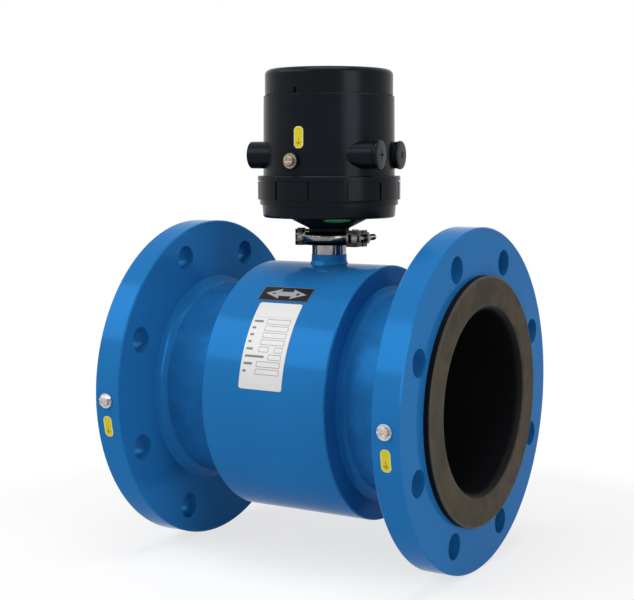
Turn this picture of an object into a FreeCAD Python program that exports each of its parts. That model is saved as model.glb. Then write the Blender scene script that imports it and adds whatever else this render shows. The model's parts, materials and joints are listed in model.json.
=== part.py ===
# Electromagnetic flow meter for a DN 150 PN 16 line, drawn in millimetres.
# Origin: on the pipe axis, midway between the flanges. +X runs along the pipe, +Z up to the converter.
# A lined steel tube with welded flanges carries a sealed coil housing. A clamped neck carries the converter.

import os
import re

import FreeCAD
import Part
import Sketcher

Vector = FreeCAD.Vector
Rotation = FreeCAD.Rotation
Placement = FreeCAD.Placement

doc = FreeCAD.newDocument("FlowMeter")
sheet = doc.addObject("Spreadsheet::Sheet", "Sizes")
finished = []

# Driving dimensions: alias, value, what it sets.
SIZES = [
    # Pipe, flanges and lining
    ("face_to_face", 286, "distance between the outer faces of the flanges"),
    ("pipe_radius", 84.15, "outside radius of the measuring tube"),
    ("pipe_wall", 4.5, "wall of the measuring tube"),
    ("flange_radius", 142.5, "outside radius of a flange"),
    ("flange_thickness", 24, "thickness of a flange"),
    ("flange_chamfer", 1, "chamfer on the rims of a flange"),
    ("bolt_edge", 22.5, "distance of the bolt circle from the rim of a flange"),
    ("bolt_hole", 11, "radius of a bolt hole"),
    ("bolt_count", 8, "bolt holes in a flange"),
    ("flange_weld_rise", 8.4, "leg of the flange weld up the flange"),
    ("flange_weld_run", 7, "leg of the flange weld along the pipe"),
    ("liner_bore", 75.5, "radius of the flow bore in the lining"),
    ("liner_margin", 5.5, "distance of the sealing face from the bolt holes"),
    ("liner_cover", 6, "thickness of the lining over a flange"),
    ("liner_lip", 6.5, "radius of the lining's rounded mouth"),
    ("liner_edge", 1.5, "rounding of the sealing face's outer edge"),
    # Coil housing
    ("drum_radius", 108.4, "outside radius of the coil housing"),
    ("drum_wall", 3, "wall of the coil housing"),
    ("drum_length", 118, "length of the coil housing over its end plates"),
    ("plate_thickness", 4, "thickness of an end plate"),
    ("plate_round", 1.6, "rounding of an end plate's rim"),
    ("plate_weld_rise", 7, "leg of the end plate weld up the plate"),
    ("plate_weld_run", 6, "leg of the end plate weld along the pipe"),
    # Coils and electrodes
    ("shoe_thickness", 2, "thickness of a pole shoe on the tube"),
    ("shoe_length", 64, "length of a pole shoe along the tube"),
    ("shoe_width", 88, "width of a pole shoe across the tube"),
    ("core_radius", 11, "radius of a coil core"),
    ("coil_radius", 22, "outside radius of a coil"),
    ("coil_lift", 1, "clearance of a coil from its pole shoe and from the yoke"),
    ("core_gap", 0.4, "clearance between a core and its coil"),
    ("yoke_gap", 0.4, "clearance between the yoke and the housing"),
    ("yoke_thickness", 2, "thickness of the return yoke"),
    ("yoke_width", 44, "width of the return yoke"),
    ("electrode_inset", 0.15, "how far an electrode tip lies back from the bore"),
    ("electrode_head", 5, "radius of an electrode's head"),
    ("electrode_stem", 2.5, "radius of an electrode's stem"),
    ("electrode_tail", 1, "how far an electrode reaches past its nut"),
    ("bush_radius", 6, "radius of an electrode bush in the tube wall"),
    ("bush_flange", 9, "radius of an electrode bush's flange"),
    ("bush_height", 4, "height of an electrode bush above the tube"),
    ("electrode_nut", 4.6, "radius over corners of an electrode nut"),
    ("electrode_nut_height", 2.8, "height of an electrode nut"),
    # Neck and clamped joint
    ("neck_bore", 12, "radius of the cable way through the neck"),
    ("collar_radius", 15.2, "outside radius of the painted collar"),
    ("collar_height", 7.7, "height of the collar above the housing"),
    ("neck_weld_flare", 1.8, "how far the neck weld spreads at its foot"),
    ("neck_weld_height", 2.6, "height of the neck weld"),
    ("stub_radius", 14.8, "outside radius of the bare tube stub"),
    ("stub_height", 9.8, "height of the bare stub up to its ferrule"),
    ("ferrule_radius", 20, "outside radius of both ferrules"),
    ("ferrule_rim", 2.4, "thickness of a ferrule at its rim"),
    ("ferrule_taper", 0.268, "slope of a ferrule's back, rise over run"),
    ("seal_thickness", 1.2, "thickness of the seal between the ferrules"),
    ("clamp_radius", 23.5, "outside radius of the clamp"),
    ("clamp_lip", 17.8, "inside radius of the clamp's lips"),
    ("clamp_height", 11.2, "height of the clamp"),
    ("clamp_bevel", 1, "bevel on the clamp's outer edges"),
    ("clamp_clearance", 0.3, "clearance between the clamp and the ferrules"),
    ("clamp_split", 1.5, "gap between the clamp halves"),
    ("lug_height", 14, "height of the clamp's lugs and knuckles"),
    ("hinge_offset", 28, "distance of the clamp's hinge pin from the neck axis"),
    ("knuckle_radius", 5.5, "radius of a hinge knuckle"),
    ("knuckle_height", 4, "height of an outer hinge knuckle"),
    ("knuckle_gap", 0.3, "clearance between hinge knuckles"),
    ("hinge_pin", 2.5, "radius of the clamp's hinge pin"),
    ("pin_head", 1, "rise and height of a clamp pin's head"),
    ("bolt_offset", 28.5, "distance of the swing bolt from the neck axis"),
    ("lug_reach", 4.5, "how far a lug reaches beyond the swing bolt"),
    ("lug_depth", 8, "depth of a lug on each side of the split"),
    ("eye_radius", 4.6, "radius of the swing bolt's eye"),
    ("eye_setback", 4, "distance of the eye's pin from the split"),
    ("eye_height", 6.4, "height of the swing bolt's eye"),
    ("eye_pin", 2, "radius of the eye's pin"),
    ("swing_bolt", 2.75, "radius of the swing bolt"),
    ("swing_length", 33, "length of the swing bolt from its pin"),
    ("slot_clearance", 0.3, "clearance of the swing bolt in its slot"),
    ("clamp_nut", 5.8, "radius over corners of the clamp nut"),
    ("clamp_nut_height", 5, "height of the clamp nut"),
    ("turning_fit", 0.06, "radial clearance of a part that turns in its seat"),
    ("resting_gap", 0.05, "gap between faces that turn on each other"),
    # Adapter under the converter
    ("adapter_neck", 17.2, "outside radius of the adapter's neck"),
    ("adapter_neck_height", 4.4, "height of the adapter's neck above its ferrule"),
    ("adapter_flare", 31.7, "radius of the adapter's flared top"),
    ("adapter_flare_height", 7.4, "height of the adapter's flare"),
    ("adapter_rim", 0.5, "height of the rim over the flare"),
    ("adapter_boss", 21, "radius of the adapter's seat under the base"),
    ("adapter_boss_height", 1.6, "height of the adapter's seat"),
    ("green_seal_width", 23.6, "width of the green seal"),
    ("green_seal_height", 3.2, "height of the green seal"),
    ("green_seal_thickness", 0.5, "thickness of the green seal"),
    ("green_seal_angle", 44, "turn of the green seal from the front"),
    # Converter base, union ring, housing and lid
    ("base_draft", 0.9, "how far the base narrows at its foot"),
    ("base_radius", 57.4, "outside radius of the base under the ring"),
    ("base_taper_height", 10.6, "height of the base's tapered skirt"),
    ("base_height", 24.2, "height of the base"),
    ("base_round", 2.2, "rounding of the base's foot"),
    ("shell_wall", 3.5, "wall of the converter's mouldings"),
    ("base_step", 0.5, "how much thicker the base's wall is than the others"),
    ("base_gasket", 1.5, "thickness of the gasket on the base"),
    ("ring_clearance", 0.4, "clearance inside the union ring"),
    ("ring_wall", 2.45, "wall of the union ring between its grip panels"),
    ("ring_foot_wall", 1.5, "wall of the union ring at its foot"),
    ("ring_foot_height", 4.5, "height of the ring's tapered foot"),
    ("ring_height", 24.5, "height of the union ring"),
    ("ring_lip_height", 4, "height of the ring's top lip"),
    ("ring_groove", 0.6, "depth of the groove above and below the grip panels"),
    ("ring_groove_height", 0.8, "height of the groove above the grip panels"),
    ("ring_round", 0.8, "rounding of the union ring's top edge"),
    ("panel_rise", 0.9, "rise of the grip panels"),
    ("panel_overcut", 0.2, "how much taller the grooves between the panels are cut"),
    ("panel_height", 15, "height of the grip panels"),
    ("panel_count", 12, "grip panels round the ring"),
    ("panel_split", 2, "width of the grooves between the panels"),
    ("panel_phase", 14.4, "turn of the first groove from the front"),
    ("body_flange_height", 3.9, "height of the housing's foot flange"),
    ("body_step", 1, "width of the step over the housing's foot flange"),
    ("body_draft", 0.6, "how far the housing narrows toward its top"),
    ("body_height", 76.8, "height of the housing"),
    ("wall_thinning", 0.6, "how much thinner the housing's wall is at its top"),
    ("tray_height", 37, "height of the board tray above the housing's foot"),
    ("tray_thickness", 2.5, "thickness of the board tray"),
    ("tray_hole", 9, "radius of the cable hole in the tray"),
    ("entry_radius", 11.4, "radius of a cable entry boss"),
    ("entry_bore", 8, "radius of the hole in a cable entry"),
    ("entry_rise", 0.2, "how far a cable entry's end stands out past the housing"),
    ("entry_spacing", 47.7, "distance between the paired cable entries"),
    ("entry_shift", 9.15, "how far the paired cable entries lie toward the front"),
    ("entry_height", 27.2, "height of the cable entries above the housing's foot"),
    ("entry_turn", 7, "turn of the cable entries from the pipe axis"),
    ("plug_head", 12.1, "radius of a blanking plug's head"),
    ("plug_head_height", 3.4, "height of a blanking plug's head"),
    ("plug_round", 1, "rounding of a blanking plug's head"),
    ("plug_shank", 11, "length of a blanking plug's shank"),
    ("plug_inset", 0.4, "how far the headless plug lies inside its entry"),
    ("plug_cross_length", 8, "length of the cross recess"),
    ("plug_cross_width", 1.6, "width of the cross recess"),
    ("plug_cross_depth", 1.6, "depth of the cross recess"),
    ("plug_seal", 9.9, "outside radius of a plug's sealing ring"),
    ("plug_seal_height", 1.4, "height of a plug's sealing ring"),
    ("rib_rise", 0.5, "rise of the moulded ribs round the earth screw"),
    ("rib_height", 0.9, "height of a moulded rib"),
    ("rib_spread", 49, "angle covered by the moulded ribs"),
    ("rib_turn", -29, "turn of the ribs' first end from the front"),
    ("lower_rib", 19.4, "height of the lower rib above the housing's foot"),
    ("upper_rib", 27.8, "height of the upper rib above the housing's foot"),
    ("pad_rise", 0.4, "rise of the latch pads"),
    ("lid_pad_height", 10.4, "height of the latch pad on the lid"),
    ("body_pad_height", 13, "height of the latch pad on the housing"),
    ("pad_spread", 45, "angle covered by the latch pads"),
    ("pad_turn", -18, "turn of the pads' first end from the front"),
    ("lid_step", 1.2, "how far the lid lies in from the top of the housing"),
    ("lid_height", 21.6, "height of the lid"),
    ("lid_round", 5, "rounding of the lid's top edge"),
    ("lid_seam", 0.9, "seam between the lid and the housing"),
    ("spigot_height", 7, "height of the lid's spigot in the housing"),
    ("notch_width", 2.4, "width of the latch notch in the lid"),
    ("notch_height", 4.6, "height of the latch notch in the lid"),
    ("notch_depth", 1.6, "depth of the latch notch in the lid"),
    # Electronics
    ("board_gap", 5.5, "clearance between a circuit board and the housing"),
    ("board_thickness", 1.6, "thickness of a circuit board"),
    ("board_spacing", 14, "height of a standoff between boards"),
    ("tray_standoff", 7.5, "height of a standoff on the tray"),
    ("standoff_radius", 3, "radius of a standoff"),
    ("terminal_length", 50, "length of the terminal block"),
    ("terminal_width", 14, "width of the terminal block"),
    ("terminal_height", 10, "height of the terminal block"),
    ("transformer_side", 28, "side of the transformer"),
    ("transformer_height", 18, "height of the transformer"),
    ("lead_radius", 3.5, "radius of the sensor lead"),
    ("lead_drop", 3, "how far the lead reaches into the coil housing"),
    ("connector_radius", 15, "radius of the sensor connector"),
    ("connector_height", 8, "height of the sensor connector"),
    # Earthing points and labels
    ("earth_thread", 2.5, "radius of an earth screw's thread"),
    ("earth_depth", 10, "length of an earth screw's thread"),
    ("earth_head", 4.6, "radius over corners of an earth screw's head"),
    ("earth_head_height", 3.6, "height of an earth screw's head"),
    ("earth_slot", 1.1, "width of an earth screw's slot"),
    ("earth_washer", 6.3, "radius of an earth screw's washer"),
    ("earth_washer_height", 1.2, "thickness of an earth screw's washer"),
    ("earth_pad", 7, "radius of the housing's earth boss"),
    ("earth_pad_rise", 2.4, "rise of the housing's earth boss"),
    ("earth_pad_height", 22.3, "height of the earth boss above the housing's foot"),
    ("earth_shift", 2.2, "sideways place of the housing's earth boss"),
    ("earth_drop", 2, "drop of the flange earth screws below the pipe axis"),
    ("mark_width", 8.4, "width of a yellow earth label"),
    ("mark_height", 17.8, "height of a yellow earth label"),
    ("mark_corner", 3.4, "corner radius of a yellow earth label"),
    ("mark_drop", 24, "drop of the flange earth labels below the pipe axis"),
    ("body_mark_height", 41.5, "height of the housing's label above its foot"),
    ("body_mark_shift", 4, "sideways place of the housing's label"),
    ("label_thickness", 0.3, "thickness of every label"),
    ("label_glue", 0.05, "thickness of the glue under a label"),
    ("plate_label_width", 41, "width of the rating label along the pipe"),
    ("plate_label_height", 75, "height of the rating label"),
    ("plate_label_turn", 63, "turn of the rating label down from the top"),
    ("plate_label_shift", -1.6, "place of the rating label along the pipe"),
    ("arrow_label_width", 48, "width of the arrow label along the pipe"),
    ("arrow_label_height", 16.6, "height of the arrow label"),
    ("arrow_label_turn", 37, "turn of the arrow label down from the top"),
    ("arrow_label_shift", -2.6, "place of the arrow label along the pipe"),
    ("label_corner", 2, "corner radius of the labels on the housing"),
]

ALIASES = {alias for alias, number, note in SIZES}

# Sizes, heights and faces worked out from the driving dimensions.
WORKED_OUT = {
    # Pipe, flanges and lining
    "pipe_inside": "pipe_radius - pipe_wall",
    "flange_back": "face_to_face / 2 - flange_thickness",
    "flange_middle": "(face_to_face - flange_thickness) / 2",
    "bolt_circle": "flange_radius - bolt_edge",
    "liner_face": "bolt_circle - bolt_hole - liner_margin",
    # Coil housing and magnet
    "drum_inside": "drum_radius - drum_wall",
    "shoe_top": "pipe_radius + shoe_thickness",
    "yoke_outside": "drum_inside - yoke_gap",
    "yoke_inside": "yoke_outside - yoke_thickness",
    "coil_height": "sqrt(yoke_inside ^ 2 - coil_radius ^ 2) - shoe_top - 2 * coil_lift",
    "electrode_tip": "liner_bore + electrode_inset",
    "bush_crown": "pipe_radius + bush_height",
    "electrode_end": "bush_crown + electrode_nut_height + electrode_tail",
    # Heights of the neck and the clamped joint
    "collar_crown": "drum_radius + collar_height",
    "ferrule_shoulder": "collar_crown + stub_height",
    "seal_foot": "ferrule_shoulder + (ferrule_radius - stub_radius) * ferrule_taper + ferrule_rim",
    "seal_crown": "seal_foot + seal_thickness",
    "clamp_middle": "seal_foot + seal_thickness / 2",
    "clamp_wall": "(clamp_radius + ferrule_radius) / 2",
    "lug_foot": "clamp_middle - lug_height / 2",
    "lug_face": "lug_depth + clamp_split / 2",
    "high_knuckle": "clamp_middle + lug_height / 2 - knuckle_height",
    "pin_place": "eye_setback + clamp_split / 2",
    # Heights of the adapter and the converter
    "adapter_shoulder": "seal_crown + ferrule_rim + (ferrule_radius - adapter_neck) * ferrule_taper",
    "flare_foot": "adapter_shoulder + adapter_neck_height",
    "flare_crown": "flare_foot + adapter_flare_height",
    "base_floor": "flare_crown + adapter_rim + adapter_boss_height",
    "base_crown": "base_floor + base_height",
    "body_floor": "base_crown + base_gasket",
    "body_crown": "body_floor + body_height",
    "lid_floor": "body_crown + lid_seam",
    "lid_crown": "lid_floor + lid_height",
    "ring_floor": "base_floor + base_taper_height + ring_clearance",
    "ring_crown": "ring_floor + ring_height",
    "entry_level": "body_floor + entry_height",
    "earth_level": "body_floor + earth_pad_height",
    # Radii of the converter, each from the base that carries it
    "base_foot": "base_radius - base_draft",
    "base_inside": "base_radius - shell_wall - base_step",
    "ring_inside": "base_radius + ring_clearance",
    "ring_foot": "ring_inside + ring_foot_wall",
    "ring_radius": "ring_inside + ring_wall",
    "body_foot": "base_radius - body_step",
    "body_top": "body_foot - body_draft",
    "body_inside": "body_foot - body_draft - shell_wall + wall_thinning",
    "lid_radius": "body_top - lid_step",
    "entry_reach": "body_foot + entry_rise",
    # The electronics
    "board_radius": "body_inside - board_gap",
    "standoff_circle": "board_radius - 2 * standoff_radius",
    "tray_crown": "body_floor + tray_height + tray_thickness",
    "main_board_foot": "tray_crown + tray_standoff",
    "main_board_crown": "main_board_foot + board_thickness",
    "power_board_foot": "main_board_crown + board_spacing",
    "power_board_crown": "power_board_foot + board_thickness",
}


def fill_sheet():
    """Write the driving dimensions into the sheet, one alias to a row."""
    for row, (alias, number, note) in enumerate(SIZES, start=1):
        sheet.set("A" + str(row), note)
        sheet.set("B" + str(row), str(number))
        sheet.setAlias("B" + str(row), alias)
    doc.recompute()


def spelled(name):
    """One name of a formula: a cell of the sheet, a worked-out size written out, or the name as it is."""
    if name in ALIASES:
        return "Sizes." + name
    if name in WORKED_OUT:
        return "(" + bound(WORKED_OUT[name]) + ")"
    return name


def bound(text):
    """Turn the names in a formula into references to the sheet."""
    return re.sub(r"[a-z][a-z_]+", lambda word: spelled(word[0]), text)


def size(text):
    """The present value of a formula, for the few places that need a number."""
    return float(sheet.evalExpression(bound(text)))


def bind(thing, **formulas):
    """Bind properties of an object to formulas on the sheet."""
    for name, text in formulas.items():
        thing.setExpression(name.replace("__", "."), bound(text))


def put(thing, base):
    """Bind the place of an object to three formulas."""
    for axis, text in zip("xyz", base):
        thing.setExpression("Placement.Base." + axis, bound(text))


AXES = {
    "Z": Rotation(),
    "X": Rotation(Vector(0, 1, 0), 90),
    "-X": Rotation(Vector(0, 1, 0), -90),
    "Y": Rotation(Vector(1, 0, 0), -90),
    "-Y": Rotation(Vector(1, 0, 0), 90),
    "-Z": Rotation(Vector(1, 0, 0), 180),
}


def named(thing, label):
    """Give a finished sub-part the label that names its file."""
    thing.Label = label
    finished.append(thing)


def cylinder(radius, height, base=("0", "0", "0"), axis="Z"):
    """A cylinder from its base point along an axis."""
    thing = doc.addObject("Part::Cylinder", "Cylinder")
    bind(thing, Radius=radius, Height=height)
    thing.Placement.Rotation = AXES[axis]
    put(thing, base)
    return thing


def box(length, width, height, corner):
    """A box from its lowest corner."""
    thing = doc.addObject("Part::Box", "Box")
    bind(thing, Length=length, Width=width, Height=height)
    put(thing, corner)
    return thing


def centred_box(length, width, height, centre):
    """A box about its centre."""
    corner = [place + " - (" + side + ") / 2" for place, side in zip(centre, (length, width, height))]
    return box(length, width, height, corner)


def prism(radius, height, base=("0", "0", "0"), axis="Z"):
    """A hexagonal prism, its radius measured over the corners."""
    thing = doc.addObject("Part::Prism", "Prism")
    thing.Polygon = 6
    bind(thing, Circumradius=radius, Height=height)
    thing.Placement.Rotation = AXES[axis]
    put(thing, base)
    return thing


def cut(body, *tools):
    """Cut one or more tools out of a body."""
    for tool in tools:
        result = doc.addObject("Part::Cut", "Cut")
        result.Base = body
        result.Tool = tool
        body = result
    return body


def fuse(*shapes):
    """Join shapes that are one piece."""
    result = doc.addObject("Part::MultiFuse", "Fuse")
    result.Shapes = list(shapes)
    result.Refine = True
    return result


def common(first, second):
    """Keep what two shapes share."""
    result = doc.addObject("Part::Common", "Common")
    result.Base = first
    result.Tool = second
    return result


def group(*shapes):
    """Separate solids that share one node."""
    result = doc.addObject("Part::Compound", "Group")
    result.Links = list(shapes)
    return result


def turned_copy(source, angle, centre=("0", "0", "0"), axis=Vector(0, 0, 1)):
    """A linked copy of an object, turned about an axis through a centre."""
    carrier = group(source)
    middle = Vector(*[size(text) for text in centre])
    carrier.Placement = Placement(Vector(), Rotation(axis, angle), middle)
    return carrier


def ring(outer, inner, height, base=("0", "0", "0"), axis="Z"):
    """A plain ring or tube."""
    return cut(cylinder(outer, height, base, axis), cylinder(inner, height, base, axis))


def origin_part(body, role):
    """A plane or axis of a body's own origin."""
    return next(part for part in body.Origin.OriginFeatures if part.Role == role)


def profile_sketch(body, points, along_x):
    """A closed outline; each corner is placed by two dimensions bound to the sheet."""
    sketch = body.newObject("Sketcher::SketchObject", "Profile")
    sketch.AttachmentSupport = (origin_part(body, "XZ_Plane"), [""])
    sketch.MapMode = "FlatFace"
    corners = [(along, radius) if along_x else (radius, along) for along, radius in points]
    spots = [Vector(size(across), size(up), 0) for across, up in corners]
    for number, spot in enumerate(spots):
        sketch.addGeometry(Part.LineSegment(spot, spots[(number + 1) % len(spots)]))
    for number in range(len(spots)):
        sketch.addConstraint(Sketcher.Constraint("Coincident", number, 2, (number + 1) % len(spots), 1))
    for number, (across, up) in enumerate(corners):
        for kind, text, value in (("DistanceX", across, spots[number].x), ("DistanceY", up, spots[number].y)):
            place = sketch.addConstraint(Sketcher.Constraint(kind, -1, 1, number, 1, value))
            sketch.setExpression("Constraints[" + str(place) + "]", bound(text))
    return sketch


def turned(points, axis="Z", base=("0", "0", "0"), along_x=False):
    """A turned solid from (along, radius) corners, about Z, or about X where along_x is set."""
    body = doc.addObject("PartDesign::Body", "Turned")
    sketch = profile_sketch(body, points, along_x)
    solid = body.newObject("PartDesign::Revolution", "Revolution")
    solid.Profile = sketch
    solid.ReferenceAxis = (sketch, ["H_Axis" if along_x else "V_Axis"])
    solid.Angle = 360
    body.Placement.Rotation = AXES[axis]
    put(body, base)
    doc.recompute()
    return body


def rim_edges(shape, radius, along, direction):
    """Names of the round edges of one radius at one place along a direction."""
    names = []
    for number, edge in enumerate(shape.Edges, start=1):
        if not isinstance(edge.Curve, Part.Circle):
            continue
        if abs(edge.Curve.Radius - radius) < 0.01 and abs(edge.Curve.Center.dot(direction) - along) < 0.01:
            names.append("Edge" + str(number))
    return names


def rounded(body, rims, amount, direction=Vector(0, 0, 1), kind="Fillet"):
    """Round or chamfer the rims of a turned body, each given as (along, radius)."""
    doc.recompute()
    tip = body.Tip
    names = []
    for along, radius in rims:
        names += rim_edges(tip.Shape, size(radius), size(along), direction)
    feature = body.newObject("PartDesign::" + kind, kind)
    feature.Base = (tip, names)
    if kind == "Fillet":
        bind(feature, Radius=amount)
    else:
        bind(feature, Size=amount)
    body.Tip = feature
    doc.recompute()
    return body


def flange_disc():
    """One flange: a thick plate with the pipe's hole, a circle of bolt holes and chamfered rims."""
    body = doc.addObject("PartDesign::Body", "FlangeDisc")
    plate = body.newObject("Sketcher::SketchObject", "Plate")
    plate.AttachmentSupport = (origin_part(body, "XY_Plane"), [""])
    plate.MapMode = "FlatFace"
    for text in ("flange_radius", "pipe_radius"):
        place = plate.addGeometry(Part.Circle(Vector(), Vector(0, 0, 1), size(text)))
        plate.addConstraint(Sketcher.Constraint("Coincident", place, 3, -1, 1))
        width = plate.addConstraint(Sketcher.Constraint("Radius", place, size(text)))
        plate.setExpression("Constraints[" + str(width) + "]", bound(text))
    pad = body.newObject("PartDesign::Pad", "PlatePad")
    pad.Profile = plate
    bind(pad, Length="flange_thickness")
    doc.recompute()
    hole = body.newObject("Sketcher::SketchObject", "BoltHole")
    hole.AttachmentSupport = (origin_part(body, "XY_Plane"), [""])
    hole.MapMode = "FlatFace"
    spots = ("bolt_circle * cos(180deg / bolt_count)", "bolt_circle * sin(180deg / bolt_count)")
    middle = Vector(size(spots[0]), size(spots[1]), 0)
    hole.addGeometry(Part.Circle(middle, Vector(0, 0, 1), size("bolt_hole")))
    for kind, text in (("DistanceX", spots[0]), ("DistanceY", spots[1])):
        place = hole.addConstraint(Sketcher.Constraint(kind, -1, 1, 0, 3, size(text)))
        hole.setExpression("Constraints[" + str(place) + "]", bound(text))
    width = hole.addConstraint(Sketcher.Constraint("Radius", 0, size("bolt_hole")))
    hole.setExpression("Constraints[" + str(width) + "]", bound("bolt_hole"))
    pocket = body.newObject("PartDesign::Pocket", "BoltPocket")
    pocket.Profile = hole
    pocket.Type = "ThroughAll"
    pocket.Reversed = True
    doc.recompute()
    pattern = body.newObject("PartDesign::PolarPattern", "BoltHoles")
    pattern.Originals = [pocket]
    pattern.Axis = (origin_part(body, "Z_Axis"), [""])
    pattern.Angle = 360
    pattern.Occurrences = int(size("bolt_count"))
    body.Tip = pattern
    rims = [("0", "flange_radius"), ("flange_thickness", "flange_radius")]
    return rounded(body, rims, "flange_chamfer", kind="Chamfer")


def flange(side):
    """A flange in place on one end of the tube, with its tapped hole for an earth screw."""
    body = flange_disc()
    start = "flange_back" if side > 0 else "-(face_to_face / 2)"
    body.Placement.Rotation = AXES["X"]
    put(body, (start, "0", "0"))
    middle = str(side) + " * flange_middle"
    depth = "earth_depth + 2"
    hole = cylinder("earth_thread + turning_fit", depth, (middle, "-flange_radius", "-earth_drop"), "Y")
    mouth = cylinder("earth_thread + turning_fit", "2", (middle, "-flange_radius - 1", "-earth_drop"), "Y")
    return cut(body, hole, mouth)


def measuring_tube():
    """The steel tube that carries everything, with a hole for each electrode."""
    start = "-face_to_face / 2"
    tube = ring("pipe_radius", "pipe_inside", "face_to_face", (start, "0", "0"), "X")
    bore = cylinder("bush_radius", "2 * pipe_radius + 2", ("0", "-pipe_radius - 1", "0"), "Y")
    return cut(tube, bore)


def liner():
    """The rubber lining: a sleeve whose ends turn out over the flanges as sealing faces."""
    end = "(face_to_face / 2 + liner_cover)"
    back = "(face_to_face / 2)"
    points = [
        ("-" + end, "liner_bore"),
        (end, "liner_bore"),
        (end, "liner_face"),
        (back, "liner_face"),
        (back, "pipe_inside"),
        ("-" + back, "pipe_inside"),
        ("-" + back, "liner_face"),
        ("-" + end, "liner_face"),
    ]
    body = turned(points, along_x=True)
    along = Vector(1, 0, 0)
    rounded(body, [("-" + end, "liner_bore"), (end, "liner_bore")], "liner_lip", along)
    rounded(body, [("-" + end, "liner_face"), (end, "liner_face")], "liner_edge", along)
    bore = cylinder("electrode_head", "2 * pipe_radius", ("0", "-pipe_radius", "0"), "Y")
    return cut(body, bore)


def fillet_weld(face, side, rise, run):
    """A ring of weld between the pipe and a plate face; side is the way it spreads along the pipe."""
    points = [
        (face, "pipe_radius"),
        (face + " + " + str(side) + " * " + run, "pipe_radius"),
        (face + " + " + str(side) + " * " + run + " * 0.42", "pipe_radius + " + rise + " * 0.42"),
        (face, "pipe_radius + " + rise),
    ]
    return turned(points, along_x=True)


def coil_housing():
    """The rolled shell round the coils, with a hole under the neck."""
    half = "(drum_length / 2 - plate_thickness)"
    shell = ring("drum_radius", "drum_inside", "2 * " + half, ("-" + half, "0", "0"), "X")
    return cut(shell, cylinder("neck_bore", "2 * drum_wall + 8", ("0", "0", "drum_inside - 4")))


def end_plate(side):
    """The ring that closes one end of the coil housing."""
    inner = str(side) + " * (drum_length / 2 - plate_thickness)"
    outer = str(side) + " * drum_length / 2"
    points = [(inner, "pipe_radius"), (outer, "pipe_radius"), (outer, "drum_radius"), (inner, "drum_radius")]
    body = turned(points, along_x=True)
    return rounded(body, [(outer, "drum_radius")], "plate_round", Vector(1, 0, 0))


def electrode(axis):
    """A measuring electrode: a head flush with the lining and a stem out through the tube."""
    points = [
        ("electrode_tip", "0"),
        ("electrode_tip", "electrode_head"),
        ("pipe_inside", "electrode_head"),
        ("pipe_inside", "electrode_stem"),
        ("electrode_end", "electrode_stem"),
        ("electrode_end", "0"),
    ]
    return turned(points, axis)


def electrode_bush(axis):
    """The insulating bush round an electrode's stem."""
    points = [
        ("pipe_inside", "electrode_stem"),
        ("pipe_inside", "bush_radius"),
        ("pipe_radius", "bush_radius"),
        ("pipe_radius", "bush_flange"),
        ("bush_crown", "bush_flange"),
        ("bush_crown", "electrode_stem"),
    ]
    return turned(points, axis)


def electrode_nut(side, axis):
    """The nut that pulls an electrode against its bush."""
    base = ("0", str(side) + " * bush_crown", "0")
    nut = prism("electrode_nut", "electrode_nut_height", base, axis)
    return cut(nut, cylinder("electrode_stem", "electrode_nut_height", base, axis))


def pole_shoe(side):
    """A curved steel plate that spreads a coil's field over the tube."""
    shell = ring("shoe_top", "pipe_radius", "shoe_length", ("-shoe_length / 2", "0", "0"), "X")
    foot = "pipe_radius / 2" if side > 0 else "-pipe_radius * 3 / 2"
    sector = box("shoe_length", "shoe_width", "pipe_radius", ("-shoe_length / 2", "-shoe_width / 2", foot))
    return common(shell, sector)


def coil_core(side):
    """The steel core from a pole shoe out to the yoke, its ends shaped to both."""
    axis = "Z" if side > 0 else "-Z"
    post = cylinder("core_radius", "yoke_inside", ("0", "0", "0"), axis)
    gap = ring("yoke_inside", "shoe_top", "3 * core_radius", ("-1.5 * core_radius", "0", "0"), "X")
    return common(post, gap)


def coil(side):
    """A wound coil round its core."""
    axis = "Z" if side > 0 else "-Z"
    foot = str(side) + " * (shoe_top + coil_lift)"
    return ring("coil_radius", "core_radius + core_gap", "coil_height", ("0", "0", foot), axis)


def yoke():
    """The steel band that returns the field round the tube."""
    return ring("yoke_outside", "yoke_inside", "yoke_width", ("-yoke_width / 2", "0", "0"), "X")


def drum_solid(length="drum_length"):
    """The coil housing's outline as a solid, for fitting what stands on it."""
    return cylinder("drum_radius", length, ("-(" + length + ") / 2", "0", "0"), "X")


def neck_collar():
    """The painted collar, saddle cut to stand on the coil housing."""
    foot = "drum_inside"
    tube = ring("collar_radius", "neck_bore", "drum_wall + collar_height", ("0", "0", foot))
    return cut(tube, drum_solid())


def neck_weld():
    """The weld that spreads from the collar onto the coil housing."""
    sink = "(drum_radius - 3)"
    points = [
        (sink, "collar_radius"),
        (sink, "collar_radius + neck_weld_flare"),
        ("(drum_radius - 1)", "collar_radius + neck_weld_flare * 0.86"),
        ("(drum_radius + 1)", "collar_radius + neck_weld_flare * 0.4"),
        ("(drum_radius + neck_weld_height)", "collar_radius"),
    ]
    return cut(turned(points), drum_solid())


def lower_ferrule():
    """The bare tube stub with the lower ferrule on its end."""
    shoulder = "(collar_crown + stub_height)"
    rim = "(seal_foot - ferrule_rim)"
    points = [("collar_crown", "neck_bore"), ("collar_crown", "stub_radius"), (shoulder, "stub_radius"),
              (rim, "ferrule_radius"), ("seal_foot", "ferrule_radius"), ("seal_foot", "neck_bore")]
    return turned(points)


def ferrule_seal():
    """The sealing ring between the ferrules."""
    return ring("ferrule_radius - 1.5", "neck_bore", "seal_thickness - resting_gap", ("0", "0", "seal_foot"))


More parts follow.
